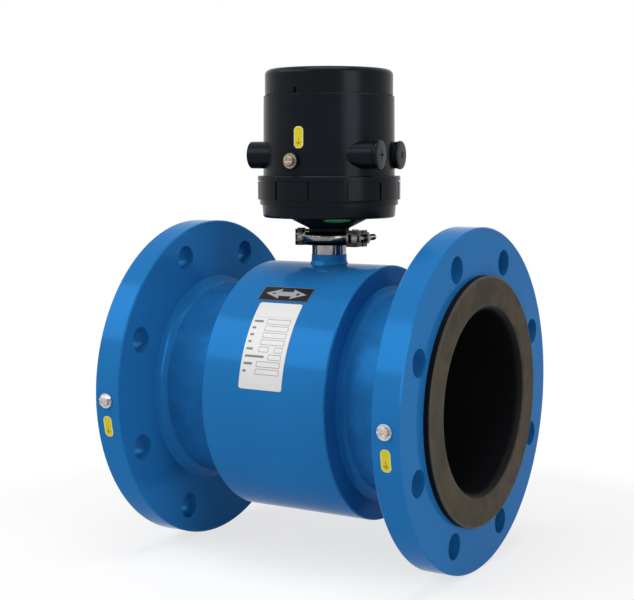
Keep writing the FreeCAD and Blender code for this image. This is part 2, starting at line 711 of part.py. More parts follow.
def clamp_ring():
    """The clamp's full ring, with a V groove that draws the ferrules together."""
    half = "clamp_height / 2"
    slope = "(ferrule_radius + clamp_clearance - clamp_lip) * ferrule_taper"
    groove = "(seal_thickness / 2 + ferrule_rim + clamp_clearance)"
    middle = "clamp_middle"
    points = [
        (middle + " - " + half, "clamp_lip"),
        (middle + " - " + half, "clamp_radius - clamp_bevel"),
        (middle + " - " + half + " + clamp_bevel", "clamp_radius"),
        (middle + " + " + half + " - clamp_bevel", "clamp_radius"),
        (middle + " + " + half, "clamp_radius - clamp_bevel"),
        (middle + " + " + half, "clamp_lip"),
        (middle + " + " + groove + " + " + slope, "clamp_lip"),
        (middle + " + " + groove, "ferrule_radius + clamp_clearance"),
        (middle + " - " + groove, "ferrule_radius + clamp_clearance"),
        (middle + " - " + groove + " - " + slope, "clamp_lip"),
    ]
    return turned(points)


def half_space(side):
    """A block that holds everything on one side of the clamp's split."""
    reach = "4 * clamp_radius"
    near = "clamp_split / 2" if side > 0 else "-clamp_split / 2 - " + reach
    corner = ("-2 * clamp_radius", near, "clamp_middle - 2 * clamp_height")
    return box(reach, reach, "4 * clamp_height", corner)


def knuckle(side, foot, height):
    """One barrel of the hinge with the arm that joins it to its clamp half."""
    barrel = cylinder("knuckle_radius", height, ("-hinge_offset", "0", foot))
    near = "0" if side > 0 else "-knuckle_radius"
    arm = box("hinge_offset - clamp_wall", "knuckle_radius", height, ("-hinge_offset", near, foot))
    return fuse(barrel, arm)


def outer_knuckles():
    """The rear half's two hinge knuckles."""
    return [knuckle(1, "lug_foot", "knuckle_height"), knuckle(1, "high_knuckle", "knuckle_height")]


def middle_knuckle():
    """The front half's hinge knuckle, between the other two."""
    height = "lug_height - 2 * (knuckle_height + knuckle_gap)"
    return [knuckle(-1, "lug_foot + knuckle_height + knuckle_gap", height)]


def knuckle_room(side):
    """The room that one clamp half leaves for the other half's knuckles."""
    reach = "knuckle_radius + knuckle_gap"
    if side > 0:
        spans = [("lug_foot + knuckle_height", "lug_height - 2 * knuckle_height")]
    else:
        height = "knuckle_height + knuckle_gap"
        spans = [("lug_foot", height), ("high_knuckle - knuckle_gap", height)]
    return [cylinder(reach, height, ("-hinge_offset", "0", foot)) for foot, height in spans]


def lug(side):
    """The bolt lug of one clamp half, rounded about the eye's pin so that the nut can swing past."""
    near = "clamp_split / 2" if side > 0 else "-clamp_split / 2 - lug_depth"
    length = "bolt_offset + lug_reach - clamp_wall"
    block = box(length, "lug_depth", "lug_height", ("clamp_wall", near, "lug_foot"))
    if side > 0:
        reach = "lug_depth + clamp_split + eye_setback"
        return common(block, cylinder(reach, "lug_height", ("bolt_offset", "-pin_place", "lug_foot")))
    return block


def lug_slot():
    """The slot through both lugs that the swing bolt lies in."""
    height = "(eye_height + 2 * slot_clearance)"
    low = "clamp_middle - " + height + " / 2"
    start = "(bolt_offset - eye_radius - slot_clearance)"
    return box("3 * lug_depth", "4 * lug_depth", height, (start, "-2 * lug_depth", low))


def clamp_half(side):
    """Half of the clamp with its lug and knuckles."""
    arc = common(clamp_ring(), half_space(side))
    own_knuckles = outer_knuckles() if side > 0 else middle_knuckle()
    room = cut(arc, *knuckle_room(side))
    trunk = fuse(room, lug(side), *own_knuckles)
    pin = cylinder("hinge_pin", "lug_height", ("-hinge_offset", "0", "lug_foot"))
    eye_pin = cylinder("eye_pin", "lug_height", ("bolt_offset", "-pin_place", "lug_foot"))
    half = cut(trunk, pin, lug_slot())
    return cut(half, eye_pin) if side < 0 else half


def upright_pin(radius, place, depth):
    """A headed pin through the clamp's full lug height."""
    shank = cylinder(radius, "lug_height", (place, depth, "lug_foot"))
    head = cylinder(radius + " + pin_head", "pin_head", (place, depth, "lug_foot + lug_height"))
    return fuse(shank, head)


def swing_bolt():
    """The eye bolt that draws the lugs together."""
    low = "clamp_middle - eye_height / 2"
    eye = cylinder("eye_radius", "eye_height", ("bolt_offset", "-pin_place", low))
    shank = cylinder("swing_bolt", "swing_length", ("bolt_offset", "-pin_place", "clamp_middle"), "Y")
    hole = cylinder("eye_pin + turning_fit", "eye_height", ("bolt_offset", "-pin_place", low))
    return cut(fuse(eye, shank), hole)


def clamp_nut():
    """The nut on the swing bolt."""
    base = ("bolt_offset", "lug_face + resting_gap", "clamp_middle")
    nut = prism("clamp_nut", "clamp_nut_height", base, "Y")
    return cut(nut, cylinder("swing_bolt + turning_fit", "clamp_nut_height", base, "Y"))


def adapter():
    """The black adapter: an upper ferrule, a short neck and a flare with the base's seat on top."""
    rim = "seal_crown + ferrule_rim"
    edge = "flare_crown + adapter_rim"
    points = [
        ("seal_crown", "neck_bore"),
        ("seal_crown", "ferrule_radius"),
        (rim, "ferrule_radius"),
        ("adapter_shoulder", "adapter_neck"),
        ("flare_foot", "adapter_neck"),
        ("flare_crown", "adapter_flare"),
        (edge, "adapter_flare"),
        (edge, "adapter_boss"),
        ("base_floor", "adapter_boss"),
        ("base_floor", "neck_bore"),
    ]
    return turned(points)


def green_seal():
    """A lens-shaped green seal on the front of the adapter's flare and rim."""
    outline = doc.addObject("Part::Ellipse", "SealOutline")
    bind(outline, MajorRadius="green_seal_width / 2", MinorRadius="green_seal_height / 2")
    outline.Placement.Rotation = AXES["-Y"]
    put(outline, ("0", "0", "base_floor - ring_clearance - green_seal_height / 2"))
    prism_shape = doc.addObject("Part::Extrusion", "SealPrism")
    prism_shape.Base = outline
    prism_shape.DirMode = "Custom"
    prism_shape.Dir = Vector(0, -1, 0)
    prism_shape.Solid = True
    bind(prism_shape, LengthFwd="2 * adapter_flare")
    top = "(base_floor - ring_clearance)"
    skin = turned([("flare_foot", "adapter_neck"), ("flare_crown", "adapter_flare"), (top, "adapter_flare"),
                   (top, "adapter_flare + green_seal_thickness"),
                   ("flare_crown", "adapter_flare + green_seal_thickness"),
                   ("flare_foot", "adapter_neck + green_seal_thickness")])
    return turned_copy(common(prism_shape, skin), size("green_seal_angle"))


def converter_base():
    """The cup under the converter, which the union ring screws onto."""
    skirt = "base_floor + base_taper_height"
    floor = "base_floor + shell_wall"
    points = [
        ("base_floor", "neck_bore"),
        ("base_floor", "base_foot"),
        (skirt, "base_radius"),
        ("base_crown", "base_radius"),
        ("base_crown", "base_inside"),
        (floor, "base_inside"),
        (floor, "neck_bore"),
    ]
    return rounded(turned(points), [("base_floor", "base_foot")], "base_round")


def base_gasket():
    """The flat gasket between the base and the housing."""
    return ring("base_radius - ring_clearance", "base_inside", "base_gasket", ("0", "0", "base_crown"))


def panel_grooves():
    """The upright grooves that split the ring's grip band into panels."""
    middle = "ring_floor + ring_foot_height + panel_height / 2"
    centre = ("0", "-(ring_radius + 1.4 * panel_rise)", middle)
    first = centred_box("panel_split", "4 * panel_rise", "panel_height + panel_overcut", centre)
    pitch = 360 / size("panel_count")
    turns = [size("panel_phase") + number * pitch for number in range(int(size("panel_count")))]
    return [turned_copy(first, turn) for turn in turns]


def union_ring():
    """The ring that draws the housing down onto the base, with grip panels round it."""
    band = "(ring_floor + ring_foot_height)"
    crown = "(ring_floor + ring_foot_height + panel_height)"
    step = crown + " + ring_groove_height"
    waist = "ring_radius - ring_groove"
    panel = "ring_radius + panel_rise"
    lip = "ring_crown - ring_lip_height"
    throat = "body_foot + ring_clearance"
    points = [
        ("ring_floor", "ring_inside"),
        ("ring_floor", "ring_foot"),
        ("(ring_floor + 0.6 * ring_foot_height)", "ring_foot"),
        (band, waist),
        (band, panel),
        (crown, panel),
        (crown, waist),
        (step, waist),
        (step, panel),
        ("ring_crown", panel),
        ("ring_crown", throat),
        (lip, throat),
        (lip, "ring_inside"),
    ]
    body = rounded(turned(points), [("ring_crown", panel)], "ring_round")
    return cut(body, group(*panel_grooves()))


def arc_pad(radius, rise, foot, height, start, spread):
    """A raised pad that follows a round wall; start and spread are angles from the front."""
    sectors = []
    for reach in (radius + " + " + rise, radius + " - 1"):
        sector = cylinder(reach, height, ("0", "0", foot))
        bind(sector, Angle=spread)
        sectors.append(sector)
    return turned_copy(cut(*sectors), size(start) - 90)


def cable_entry(along, across):
    """One cable entry boss; along is the side it points to and across its place beside the axis."""
    root = "(body_top - 26)"
    start = root if along > 0 else "-entry_reach"
    return cylinder("entry_radius", "entry_reach - " + root, (start, across, "entry_level"), "X")


def entry_hole(along, across):
    """The hole through one cable entry."""
    root = "(body_top - 30)"
    start = root if along > 0 else "-entry_reach - 2"
    return cylinder("entry_bore", "entry_reach + 2 - " + root, (start, across, "entry_level"), "X")


ENTRIES = {
    "near": (1, "-entry_shift - entry_spacing / 2"),
    "far": (1, "entry_spacing / 2 - entry_shift"),
    "left": (-1, "-entry_shift - entry_spacing / 2"),
}


def turned_entry(source):
    """Something of a cable entry, turned with the converter."""
    return turned_copy(source, size("entry_turn"))


def housing_body():
    """The converter's housing: a drafted wall, a foot flange, a board tray, entries and an earth boss."""
    shoulder = "body_floor + body_flange_height"
    points = [
        ("body_floor", "0"),
        ("body_floor", "base_radius"),
        (shoulder, "base_radius"),
        (shoulder, "body_foot"),
        ("body_crown", "body_top"),
        ("body_crown", "0"),
    ]
    outside = turned(points)
    bosses = [turned_entry(cable_entry(*entry)) for entry in ENTRIES.values()]
    face = "body_foot + earth_pad_rise"
    depth = "earth_pad_rise + shell_wall"
    earth = cylinder("earth_pad", depth, ("-earth_shift", "-(" + face + ")", "earth_level"), "Y")
    ribs = []
    for level in ("lower_rib", "upper_rib"):
        ribs.append(arc_pad("body_foot", "rib_rise", "body_floor + " + level, "rib_height", "rib_turn", "rib_spread"))
    pad_foot = "body_crown - body_pad_height"
    pad = arc_pad("body_top", "pad_rise", pad_foot, "body_pad_height", "pad_turn", "pad_spread")
    trunk = fuse(outside, earth, pad, *bosses, *ribs)
    tray = "body_floor + tray_height"
    room_below = cylinder("body_inside", "tray_height + 1", ("0", "0", "body_floor - 1"))
    room_above = cylinder("body_inside", "body_height", ("0", "0", "tray_crown"))
    hole_foot = ("board_radius / 2", "0", tray + " - tray_thickness")
    cable_hole = cylinder("tray_hole", "4 * tray_thickness", hole_foot)
    mouth = ("-earth_shift", "-(" + face + " + 1)", "earth_level")
    tapping = cylinder("earth_thread + turning_fit", "2 * earth_depth", mouth, "Y")
    holes = [turned_entry(entry_hole(*entry)) for entry in ENTRIES.values()]
    return cut(trunk, room_below, room_above, cable_hole, tapping, group(*holes))


def lid():
    """The lid: a cap with a rounded top edge, a latch pad and notch, and a spigot in the housing."""
    spigot = "body_inside - ring_clearance"
    inside = "body_inside - ring_clearance - shell_wall / 2"
    ceiling = "lid_crown - shell_wall"
    foot = "body_crown - spigot_height"
    points = [
        (foot, inside),
        (foot, spigot),
        ("lid_floor", spigot),
        ("lid_floor", "lid_radius"),
        ("lid_crown", "lid_radius"),
        ("lid_crown", "0"),
        (ceiling, "0"),
        (ceiling, inside),
    ]
    cap = rounded(turned(points), [("lid_crown", "lid_radius")], "lid_round")
    pad = arc_pad("lid_radius", "pad_rise", "lid_floor", "lid_pad_height", "pad_turn", "pad_spread - 3")
    corner = ("0", "-lid_radius", "lid_floor")
    notch = centred_box("notch_width", "2 * notch_depth", "2 * notch_height", corner)
    return cut(fuse(cap, pad), notch)


def lid_seal():
    """The sealing ring under the lid."""
    return ring("lid_radius - 0.8", "body_inside", "lid_seam - resting_gap", ("0", "0", "body_crown"))


def blanking_plug(along, across):
    """A screwed blanking plug: a round head with a cross recess, and a shank in the entry."""
    face = "(entry_reach + plug_seal_height + resting_gap)"
    end = "(" + face + " + plug_head_height)"
    inner = "(entry_reach - plug_shank)"
    points = [(inner, "0"), (inner, "entry_bore - turning_fit"), (face, "entry_bore - turning_fit"),
              (face, "plug_head"), (end, "plug_head"), (end, "0")]
    plug = rounded(turned(points), [(end, "plug_head")], "plug_round")
    slots = []
    for length, width in (("length", "width"), ("width", "length")):
        sides = ("plug_cross_" + length, "plug_cross_" + width)
        slots.append(centred_box(*sides, "2 * plug_cross_depth", ("0", "0", end)))
    carved = cut(plug, *slots)
    return turned_entry(facing(carved, along, across))


def flush_plug(along, across):
    """A headless blanking plug that lies just inside the end of its entry."""
    end = "(entry_reach - plug_inset)"
    plug = cylinder("entry_bore - turning_fit", "plug_shank - plug_inset", ("0", "0", "entry_reach - plug_shank"))
    slots = []
    for length, width in (("length", "width"), ("width", "length")):
        sides = ("plug_cross_" + length, "plug_cross_" + width)
        slots.append(centred_box(*sides, "2 * plug_cross_depth", ("0", "0", end)))
    return turned_entry(facing(cut(plug, *slots), along, across))


def plug_seal(along, across):
    """The sealing ring on the end of a cable entry."""
    seal = ring("plug_seal", "entry_bore", "plug_seal_height", ("0", "0", "entry_reach"))
    return turned_entry(facing(seal, along, across))


def facing(source, along, across):
    """Something turned about Z, laid along the entries' axis and moved to its entry."""
    laid = group(source)
    laid.Placement.Rotation = AXES["X" if along > 0 else "-X"]
    put(laid, ("0", across, "entry_level"))
    return laid


def earth_screw(place, level, face):
    """A hexagon screw with a slotted head, pointing out toward -Y from a face."""
    seat = face + " + earth_washer_height + resting_gap"
    head = prism("earth_head", "earth_head_height", (place, "-(" + seat + ")", level), "-Y")
    shank = cylinder("earth_thread", "earth_depth", (place, "-(" + seat + ")", level), "Y")
    slot = centred_box("3 * earth_head", "2 * earth_slot", "earth_slot",
                       (place, "-(" + seat + " + earth_head_height)", level))
    return cut(fuse(head, shank), slot)


def earth_washer(place, level, face):
    """The washer under an earth screw."""
    base = (place, "-(" + face + ")", level)
    return ring("earth_washer", "earth_thread + 3 * turning_fit", "earth_washer_height", base, "-Y")


def upright_edges(shape, direction):
    """Names of the straight edges of a box along one direction."""
    names = []
    for number, edge in enumerate(shape.Edges, start=1):
        if abs(edge.tangentAt(edge.FirstParameter).dot(direction)) > 0.999:
            names.append(number)
    return names


def sheet_label(width, height, corner, radius):
    """A thin label bent round a cylinder about X: width along it, facing -Y and centred on it."""
    blank = centred_box(width, radius, height, ("0", "-" + radius, "0"))
    doc.recompute()
    soft = doc.addObject("Part::Fillet", "LabelCorners")
    soft.Base = blank
    rounding = size(corner)
    soft.Edges = [(number, rounding, rounding) for number in upright_edges(blank.Shape, Vector(0, 1, 0))]
    inside = radius + " + label_glue"
    skin = ring(inside + " + label_thickness", inside, "2 * " + width, ("-" + width, "0", "0"), "X")
    return common(soft, skin)


def drum_label(width, height, turn, shift):
    """A label on the coil housing, turned down from the top and moved along the pipe."""
    label = sheet_label(width, height, "label_corner", "drum_radius")
    carrier = turned_copy(label, size(turn) - 90, axis=Vector(1, 0, 0))
    put(carrier, (shift, "0", "0"))
    return carrier


def flange_mark(side):
    """The yellow earth label on a flange's rim."""
    label = sheet_label("mark_width", "mark_height", "mark_corner", "flange_radius")
    tilt = "asin(mark_drop / flange_radius)"
    carrier = turned_copy(label, size(tilt), axis=Vector(1, 0, 0))
    put(carrier, (str(side) + " * flange_middle", "0", "0"))
    return carrier


def body_mark():
    """The yellow earth label on the converter's housing, bent round the wall."""
    level = "body_floor + body_mark_height"
    slope = "(body_foot - body_top) / (body_height - body_flange_height)"
    wall = "(body_foot + label_glue - " + slope + " * (body_mark_height - body_flange_height))"
    drift = slope + " * mark_height / 2"
    shell_points = [(level + " - mark_height", wall + " + 2 * " + drift),
                    (level + " - mark_height", wall + " + 2 * " + drift + " + label_thickness"),
                    (level + " + mark_height", wall + " - 2 * " + drift + " + label_thickness"),
                    (level + " + mark_height", wall + " - 2 * " + drift)]
    blank = box("mark_width", "body_foot", "mark_height",
                ("-mark_width / 2", "-body_foot - 4", level + " - mark_height / 2"))
    doc.recompute()
    soft = doc.addObject("Part::Fillet", "MarkCorners")
    soft.Base = blank
    corner = size("mark_corner")
    soft.Edges = [(number, corner, corner) for number in upright_edges(blank.Shape, Vector(0, 1, 0))]
    label = common(soft, turned(shell_points))
    return turned_copy(label, size("asin(body_mark_shift / body_foot)"))


def board(foot):
    """A round circuit board."""
    return cylinder("board_radius", "board_thickness", ("0", "0", foot))


def standoffs():
    """The posts under both boards."""
    posts = []
    for foot, height in (("tray_crown", "tray_standoff"), ("main_board_crown", "board_spacing")):
        place = ("standoff_circle * cos(45deg)", "standoff_circle * sin(45deg)", foot)
        post = cylinder("standoff_radius", height, place)
        posts += [turned_copy(post, 90 * number) for number in range(4)]
    return group(*posts)


def terminal_block():
    """The terminals on the main board."""
    middle = "main_board_crown + terminal_height / 2"
    centre = ("0", "-terminal_width", middle)
    return centred_box("terminal_length", "terminal_width", "terminal_height", centre)


def transformer():
    """The transformer on the power board."""
    middle = "power_board_crown + transformer_height / 2"
    return centred_box("transformer_side", "transformer_side", "transformer_height", ("0", "0", middle))


def sensor_connector():
    """The connector on the base's floor where the sensor lead ends."""
    floor = "base_floor + shell_wall"
    return cylinder("connector_radius", "connector_height", ("0", "0", floor))


def sensor_lead():
    """The lead from the coil housing up the neck to the connector."""
    foot = "(drum_radius - lead_drop)"
    return cylinder("lead_radius", "base_floor + shell_wall - " + foot, ("0", "0", foot))


def build_tube():
    """The flanged tube and its lining."""
    named(measuring_tube(), "measuring_tube")
    named(flange(-1), "inlet_flange")
    named(flange(1), "outlet_flange")
    named(fillet_weld("-flange_back", 1, "flange_weld_rise", "flange_weld_run"), "inlet_flange_weld")
    named(fillet_weld("flange_back", -1, "flange_weld_rise", "flange_weld_run"), "outlet_flange_weld")
    named(liner(), "rubber_liner")


def build_coil_housing():
    """The sealed coil housing and what it holds."""
    named(coil_housing(), "coil_housing")
    named(end_plate(-1), "inlet_end_plate")
    named(end_plate(1), "outlet_end_plate")
    named(fillet_weld("-drum_length / 2", -1, "plate_weld_rise", "plate_weld_run"), "inlet_plate_weld")
    named(fillet_weld("drum_length / 2", 1, "plate_weld_rise", "plate_weld_run"), "outlet_plate_weld")
    named(group(pole_shoe(1), pole_shoe(-1)), "pole_shoes")
    named(group(coil_core(1), coil_core(-1)), "coil_cores")
    named(coil(1), "upper_coil")
    named(coil(-1), "lower_coil")
    named(yoke(), "return_yoke")
    named(electrode("-Y"), "front_electrode")
    named(electrode("Y"), "rear_electrode")
    named(group(electrode_bush("-Y"), electrode_bush("Y")), "electrode_bushes")
    named(group(electrode_nut(-1, "-Y"), electrode_nut(1, "Y")), "electrode_nuts")


def build_neck():
    """The neck and the clamped joint."""
    named(neck_collar(), "neck_collar")
    named(neck_weld(), "neck_weld")
    named(lower_ferrule(), "lower_ferrule")
    named(ferrule_seal(), "ferrule_seal")
    named(clamp_half(1), "rear_clamp_half")
    named(clamp_half(-1), "front_clamp_half")
    named(upright_pin("hinge_pin", "-hinge_offset", "0"), "clamp_hinge_pin")
    named(upright_pin("eye_pin", "bolt_offset", "-pin_place"), "swing_bolt_pin")
    named(swing_bolt(), "swing_bolt")
    named(clamp_nut(), "clamp_nut")


def build_converter():
    """The converter and its electronics."""
    named(adapter(), "neck_adapter")
    named(green_seal(), "green_seal")
    named(converter_base(), "converter_base")
    named(base_gasket(), "base_gasket")
    named(union_ring(), "union_ring")
    named(housing_body(), "converter_housing")
    named(lid(), "converter_lid")
    named(lid_seal(), "lid_seal")
    for place in ("near", "far"):
        named(blanking_plug(*ENTRIES[place]), place + "_blanking_plug")
    named(flush_plug(*ENTRIES["left"]), "left_blanking_plug")
    named(group(*[plug_seal(*ENTRIES[place]) for place in ("near", "far")]), "plug_seals")
    named(board("main_board_foot"), "main_board")
    named(board("power_board_foot"), "power_board")
    named(standoffs(), "board_standoffs")
    named(terminal_block(), "terminal_block")
    named(transformer(), "power_transformer")
    named(sensor_connector(), "sensor_connector")
    named(sensor_lead(), "sensor_lead")


def build_earthing():
    """The earth screws with their washers and yellow labels."""
    washers = []
    for side, place in ((-1, "inlet"), (1, "outlet")):
        middle = str(side) + " * flange_middle"
        named(earth_screw(middle, "-earth_drop", "flange_radius"), place + "_earth_screw")
        named(flange_mark(side), place + "_earth_label")
        washers.append(earth_washer(middle, "-earth_drop", "flange_radius"))
    named(group(*washers), "flange_earth_washers")
    face = "(body_foot + earth_pad_rise)"
    named(earth_screw("-earth_shift", "earth_level", face), "converter_earth_screw")
    named(earth_washer("-earth_shift", "earth_level", face), "converter_earth_washer")
    named(body_mark(), "converter_earth_label")


def build_labels():
    """The labels on the coil housing."""
    rating = drum_label("plate_label_width", "plate_label_height", "plate_label_turn", "plate_label_shift")
    named(rating, "rating_label")
    arrow = drum_label("arrow_label_width", "arrow_label_height", "arrow_label_turn", "arrow_label_shift")
    named(arrow, "flow_arrow_label")


def check_parts():
    """Stop if any object failed, or any sub-part has no sound solid."""
    for thing in doc.Objects:
        if "Invalid" in thing.State or "Error" in thing.State:
            raise ValueError(thing.Label + " did not build: " + str(thing.State))
    for part in finished:
        if part.Shape.isNull() or not part.Shape.isValid() or not part.Shape.Solids:
            raise ValueError(part.Label + " has no sound shape")


fill_sheet()
build_tube()
build_coil_housing()
build_neck()
build_converter()
build_earthing()
build_labels()
doc.recompute()

check_parts()

os.makedirs("parts", exist_ok=True)
for part in finished:
    part.Shape.exportStep("parts/" + part.Label + ".step")
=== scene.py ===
"""Looks of an electromagnetic flow meter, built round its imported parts. Metres throughout."""

import json
import math

import bpy
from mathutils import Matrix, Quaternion, Vector


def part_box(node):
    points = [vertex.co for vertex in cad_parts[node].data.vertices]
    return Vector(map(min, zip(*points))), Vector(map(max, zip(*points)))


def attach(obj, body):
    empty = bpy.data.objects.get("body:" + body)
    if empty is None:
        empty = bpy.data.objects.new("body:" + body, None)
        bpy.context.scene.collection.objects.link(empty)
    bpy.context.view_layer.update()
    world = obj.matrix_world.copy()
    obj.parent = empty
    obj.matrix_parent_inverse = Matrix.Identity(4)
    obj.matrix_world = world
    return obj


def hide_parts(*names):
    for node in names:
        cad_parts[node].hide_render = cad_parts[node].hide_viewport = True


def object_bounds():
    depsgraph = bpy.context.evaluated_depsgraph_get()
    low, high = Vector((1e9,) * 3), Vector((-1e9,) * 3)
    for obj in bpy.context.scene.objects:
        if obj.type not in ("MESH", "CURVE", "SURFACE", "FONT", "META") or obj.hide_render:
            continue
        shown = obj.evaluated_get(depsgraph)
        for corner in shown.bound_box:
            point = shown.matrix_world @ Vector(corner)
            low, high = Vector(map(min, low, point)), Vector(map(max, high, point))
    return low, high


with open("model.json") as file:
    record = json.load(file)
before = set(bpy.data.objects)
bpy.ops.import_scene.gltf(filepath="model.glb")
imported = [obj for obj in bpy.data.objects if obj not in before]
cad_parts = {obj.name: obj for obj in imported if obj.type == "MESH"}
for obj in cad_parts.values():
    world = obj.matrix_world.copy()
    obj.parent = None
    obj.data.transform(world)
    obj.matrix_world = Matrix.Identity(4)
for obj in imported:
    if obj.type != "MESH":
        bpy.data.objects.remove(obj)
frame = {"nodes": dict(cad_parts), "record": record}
CAD_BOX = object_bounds()
NODES = frame["nodes"]

bl_info = {
    "name": "Flow meter looks",
    "version": (1, 0, 0),
    "blender": (4, 5, 0),
    "location": "3D View > Sidebar > Flow meter",
    "description": "Finishes, modelled details and studio of an electromagnetic flow meter",
    "category": "Object",
}

MM = 0.001

PIPE_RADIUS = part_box("measuring_tube")[1].z
DRUM_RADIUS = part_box("coil_housing")[1].z
FLOOR_LEVEL = CAD_BOX[0].z

DOUBLES_REACH = 0.002 * MM
FLAT_ANGLE = 0.6
LEVEL_ANGLE = 0.05


def middle_of(node):
    """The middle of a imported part's box."""
    low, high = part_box(node)
    return (low + high) / 2


# ---------------------------------------------------------------- shader maths


class Flow:
    """An output socket in a material. Sums on it are written as Python expressions and add Math nodes."""

    def __init__(self, finish, socket):
        self.finish = finish
        self.socket = socket

    def maths(self, operation, *others, clamp=False):
        values = dict(enumerate((self, *others)))
        settings = {"operation": operation, "use_clamp": clamp}
        return self.finish.add("ShaderNodeMath", settings, values)

    def __add__(self, other):
        return self.maths("ADD", other)

    def __neg__(self):
        return self.maths("MULTIPLY", -1.0)

    def __sub__(self, other):
        return self.maths("SUBTRACT", other)

    def __rsub__(self, other):
        return self.finish.add("ShaderNodeMath", {"operation": "SUBTRACT"}, {0: other, 1: self})

    def __mul__(self, other):
        return self.maths("MULTIPLY", other)

    def __truediv__(self, other):
        return self.maths("DIVIDE", other)

    def __lt__(self, other):
        return self.maths("LESS_THAN", other)

    def __gt__(self, other):
        return self.maths("GREATER_THAN", other)

    def __abs__(self):
        return self.maths("ABSOLUTE")

    __radd__ = __add__
    __rmul__ = __mul__

    def least(self, other):
        return self.maths("MINIMUM", other)

    def most(self, other):
        return self.maths("MAXIMUM", other)

    def ramp(self, low, high):
        """Nought at low, one at high and a straight slope between."""
        settings = {"clamp": True}
        sockets = {"Value": self, "From Min": low, "From Max": high, "To Min": 0.0, "To Max": 1.0}
        return self.finish.add("ShaderNodeMapRange", settings, sockets)


class Finish:
    """A material in the making. Every node comes from add, with its settings first and then its sockets."""

    def __init__(self, name):
        self.material = bpy.data.materials.new(name)
        self.material.use_nodes = True
        self.tree = self.material.node_tree
        self.tree.nodes.clear()
        self.place = self.add("ShaderNodeTexCoord", output="Object")

    def add(self, kind, settings=None, sockets=None, output=0):
        node = self.tree.nodes.new(kind)
        for name, value in (settings or {}).items():
            if name == "stops":
                self.set_stops(node.color_ramp, value)
            else:
                setattr(node, name, value)
        for name, value in (sockets or {}).items():
            self.join(value, node.inputs[name])
        return Flow(self, node.outputs[output]) if len(node.outputs) else None

    @staticmethod
    def set_stops(ramp, stops):
        while len(ramp.elements) < len(stops):
            ramp.elements.new(1.0)
        for element, (position, colour) in zip(ramp.elements, stops):
            element.position = position
            element.color = (*colour, 1.0)

    def join(self, value, socket):
        if isinstance(value, Flow):
            self.tree.links.new(value.socket, socket)
        elif isinstance(value, (tuple, list)) and len(value) == 3 and socket.type == "RGBA":
            socket.default_value = (*value, 1.0)
        else:
            socket.default_value = value

    def axes(self, vector=None):
        """The three parts of a place, along the pipe, across it and up."""
        split = self.add("ShaderNodeSeparateXYZ", None, {0: vector or self.place})
        outputs = split.socket.node.outputs
        return [Flow(self, outputs[number]) for number in range(3)]

    def noise(self, scale, detail=2.0, roughness=0.5, vector=None):
        sockets = {"Vector": vector or self.place, "Scale": scale, "Detail": detail, "Roughness": roughness}
        return self.add("ShaderNodeTexNoise", None, sockets, output="Fac")

    def blend(self, factor, first, second):
        """One colour turned into another."""
        sockets = {"Factor": factor, "A": first, "B": second}
        settings = {"data_type": "RGBA"}
        node = self.tree.nodes.new("ShaderNodeMix")
        for name, value in settings.items():
            setattr(node, name, value)
        for name, value in sockets.items():
            fitting = [socket for socket in node.inputs if socket.name == name and socket.enabled]
            self.join(value, fitting[0])
        result = [socket for socket in node.outputs if socket.enabled]
        return Flow(self, result[0])

    def bump(self, height, depth, distance=1.0):
        sockets = {"Strength": depth, "Distance": distance, "Height": height}
        return self.add("ShaderNodeBump", None, sockets)

    def surface(self, **sockets):
        """Finish the material with one Principled shader."""
        named = {name.replace("_", " "): value for name, value in sockets.items()}
        shader = self.add("ShaderNodeBsdfPrincipled", None, named)
        self.add("ShaderNodeOutputMaterial", None, {"Surface": shader})
        return self.material


# ---------------------------------------------------------------- sizes and colours that a user may change


class FlowMeterSizes(bpy.types.PropertyGroup):
    """Sizes of the modelled details."""

    weld_ripple: bpy.props.FloatProperty(
        name="Weld ripple", description="Height of the ripples on a weld", default=0.12 * MM, unit="LENGTH")
    weld_pitch: bpy.props.FloatProperty(
        name="Weld pitch", description="Distance from one weld ripple to the next", default=4 * MM, unit="LENGTH")
    edge_round: bpy.props.FloatProperty(
        name="Edge rounding", description="Rounding of the small metal parts' edges", default=0.15 * MM, unit="LENGTH")
    moulded_round: bpy.props.FloatProperty(
        name="Moulded rounding", description="Rounding of the plastic parts' edges", default=0.35 * MM, unit="LENGTH")
    thread_pitch: bpy.props.FloatProperty(
        name="Thread pitch", description="Pitch of the clamp bolt's thread", default=0.9 * MM, unit="LENGTH")


class FlowMeterColours(bpy.types.PropertyGroup):
    """Colours of the finishes."""

    paint: bpy.props.FloatVectorProperty(
        name="Paint", description="Gloss paint on the tube, flanges and coil housing",
        default=(0.0150, 0.143, 0.385), subtype="COLOR", min=0, max=1)
    plastic: bpy.props.FloatVectorProperty(
        name="Plastic", description="Mouldings of the converter",
        default=(0.0038, 0.0052, 0.0080), subtype="COLOR", min=0, max=1)
    liner: bpy.props.FloatVectorProperty(
        name="Lining", description="Rubbed face of the lining",
        default=(0.055, 0.0455, 0.0300), subtype="COLOR", min=0, max=1)
    steel: bpy.props.FloatVectorProperty(
        name="Stainless steel", description="Clamp, ferrule and swing bolt",
        default=(0.34, 0.33, 0.315), subtype="COLOR", min=0, max=1)
    earth: bpy.props.FloatVectorProperty(
        name="Earth screws", description="Plated earth screws and washers",
        default=(0.36, 0.31, 0.245), subtype="COLOR", min=0, max=1)
    yellow: bpy.props.FloatVectorProperty(
        name="Yellow labels", description="Earth labels",
        default=(0.62, 0.51, 0.014), subtype="COLOR", min=0, max=1)


def sizes():
    return bpy.context.scene.flow_meter_sizes


def colour(name):
    return tuple(getattr(bpy.context.scene.flow_meter_colours, name))


def darker(shade, share):
    """A colour with its light cut to a share."""
    return tuple(part * share for part in shade)


# ---------------------------------------------------------------- finishes


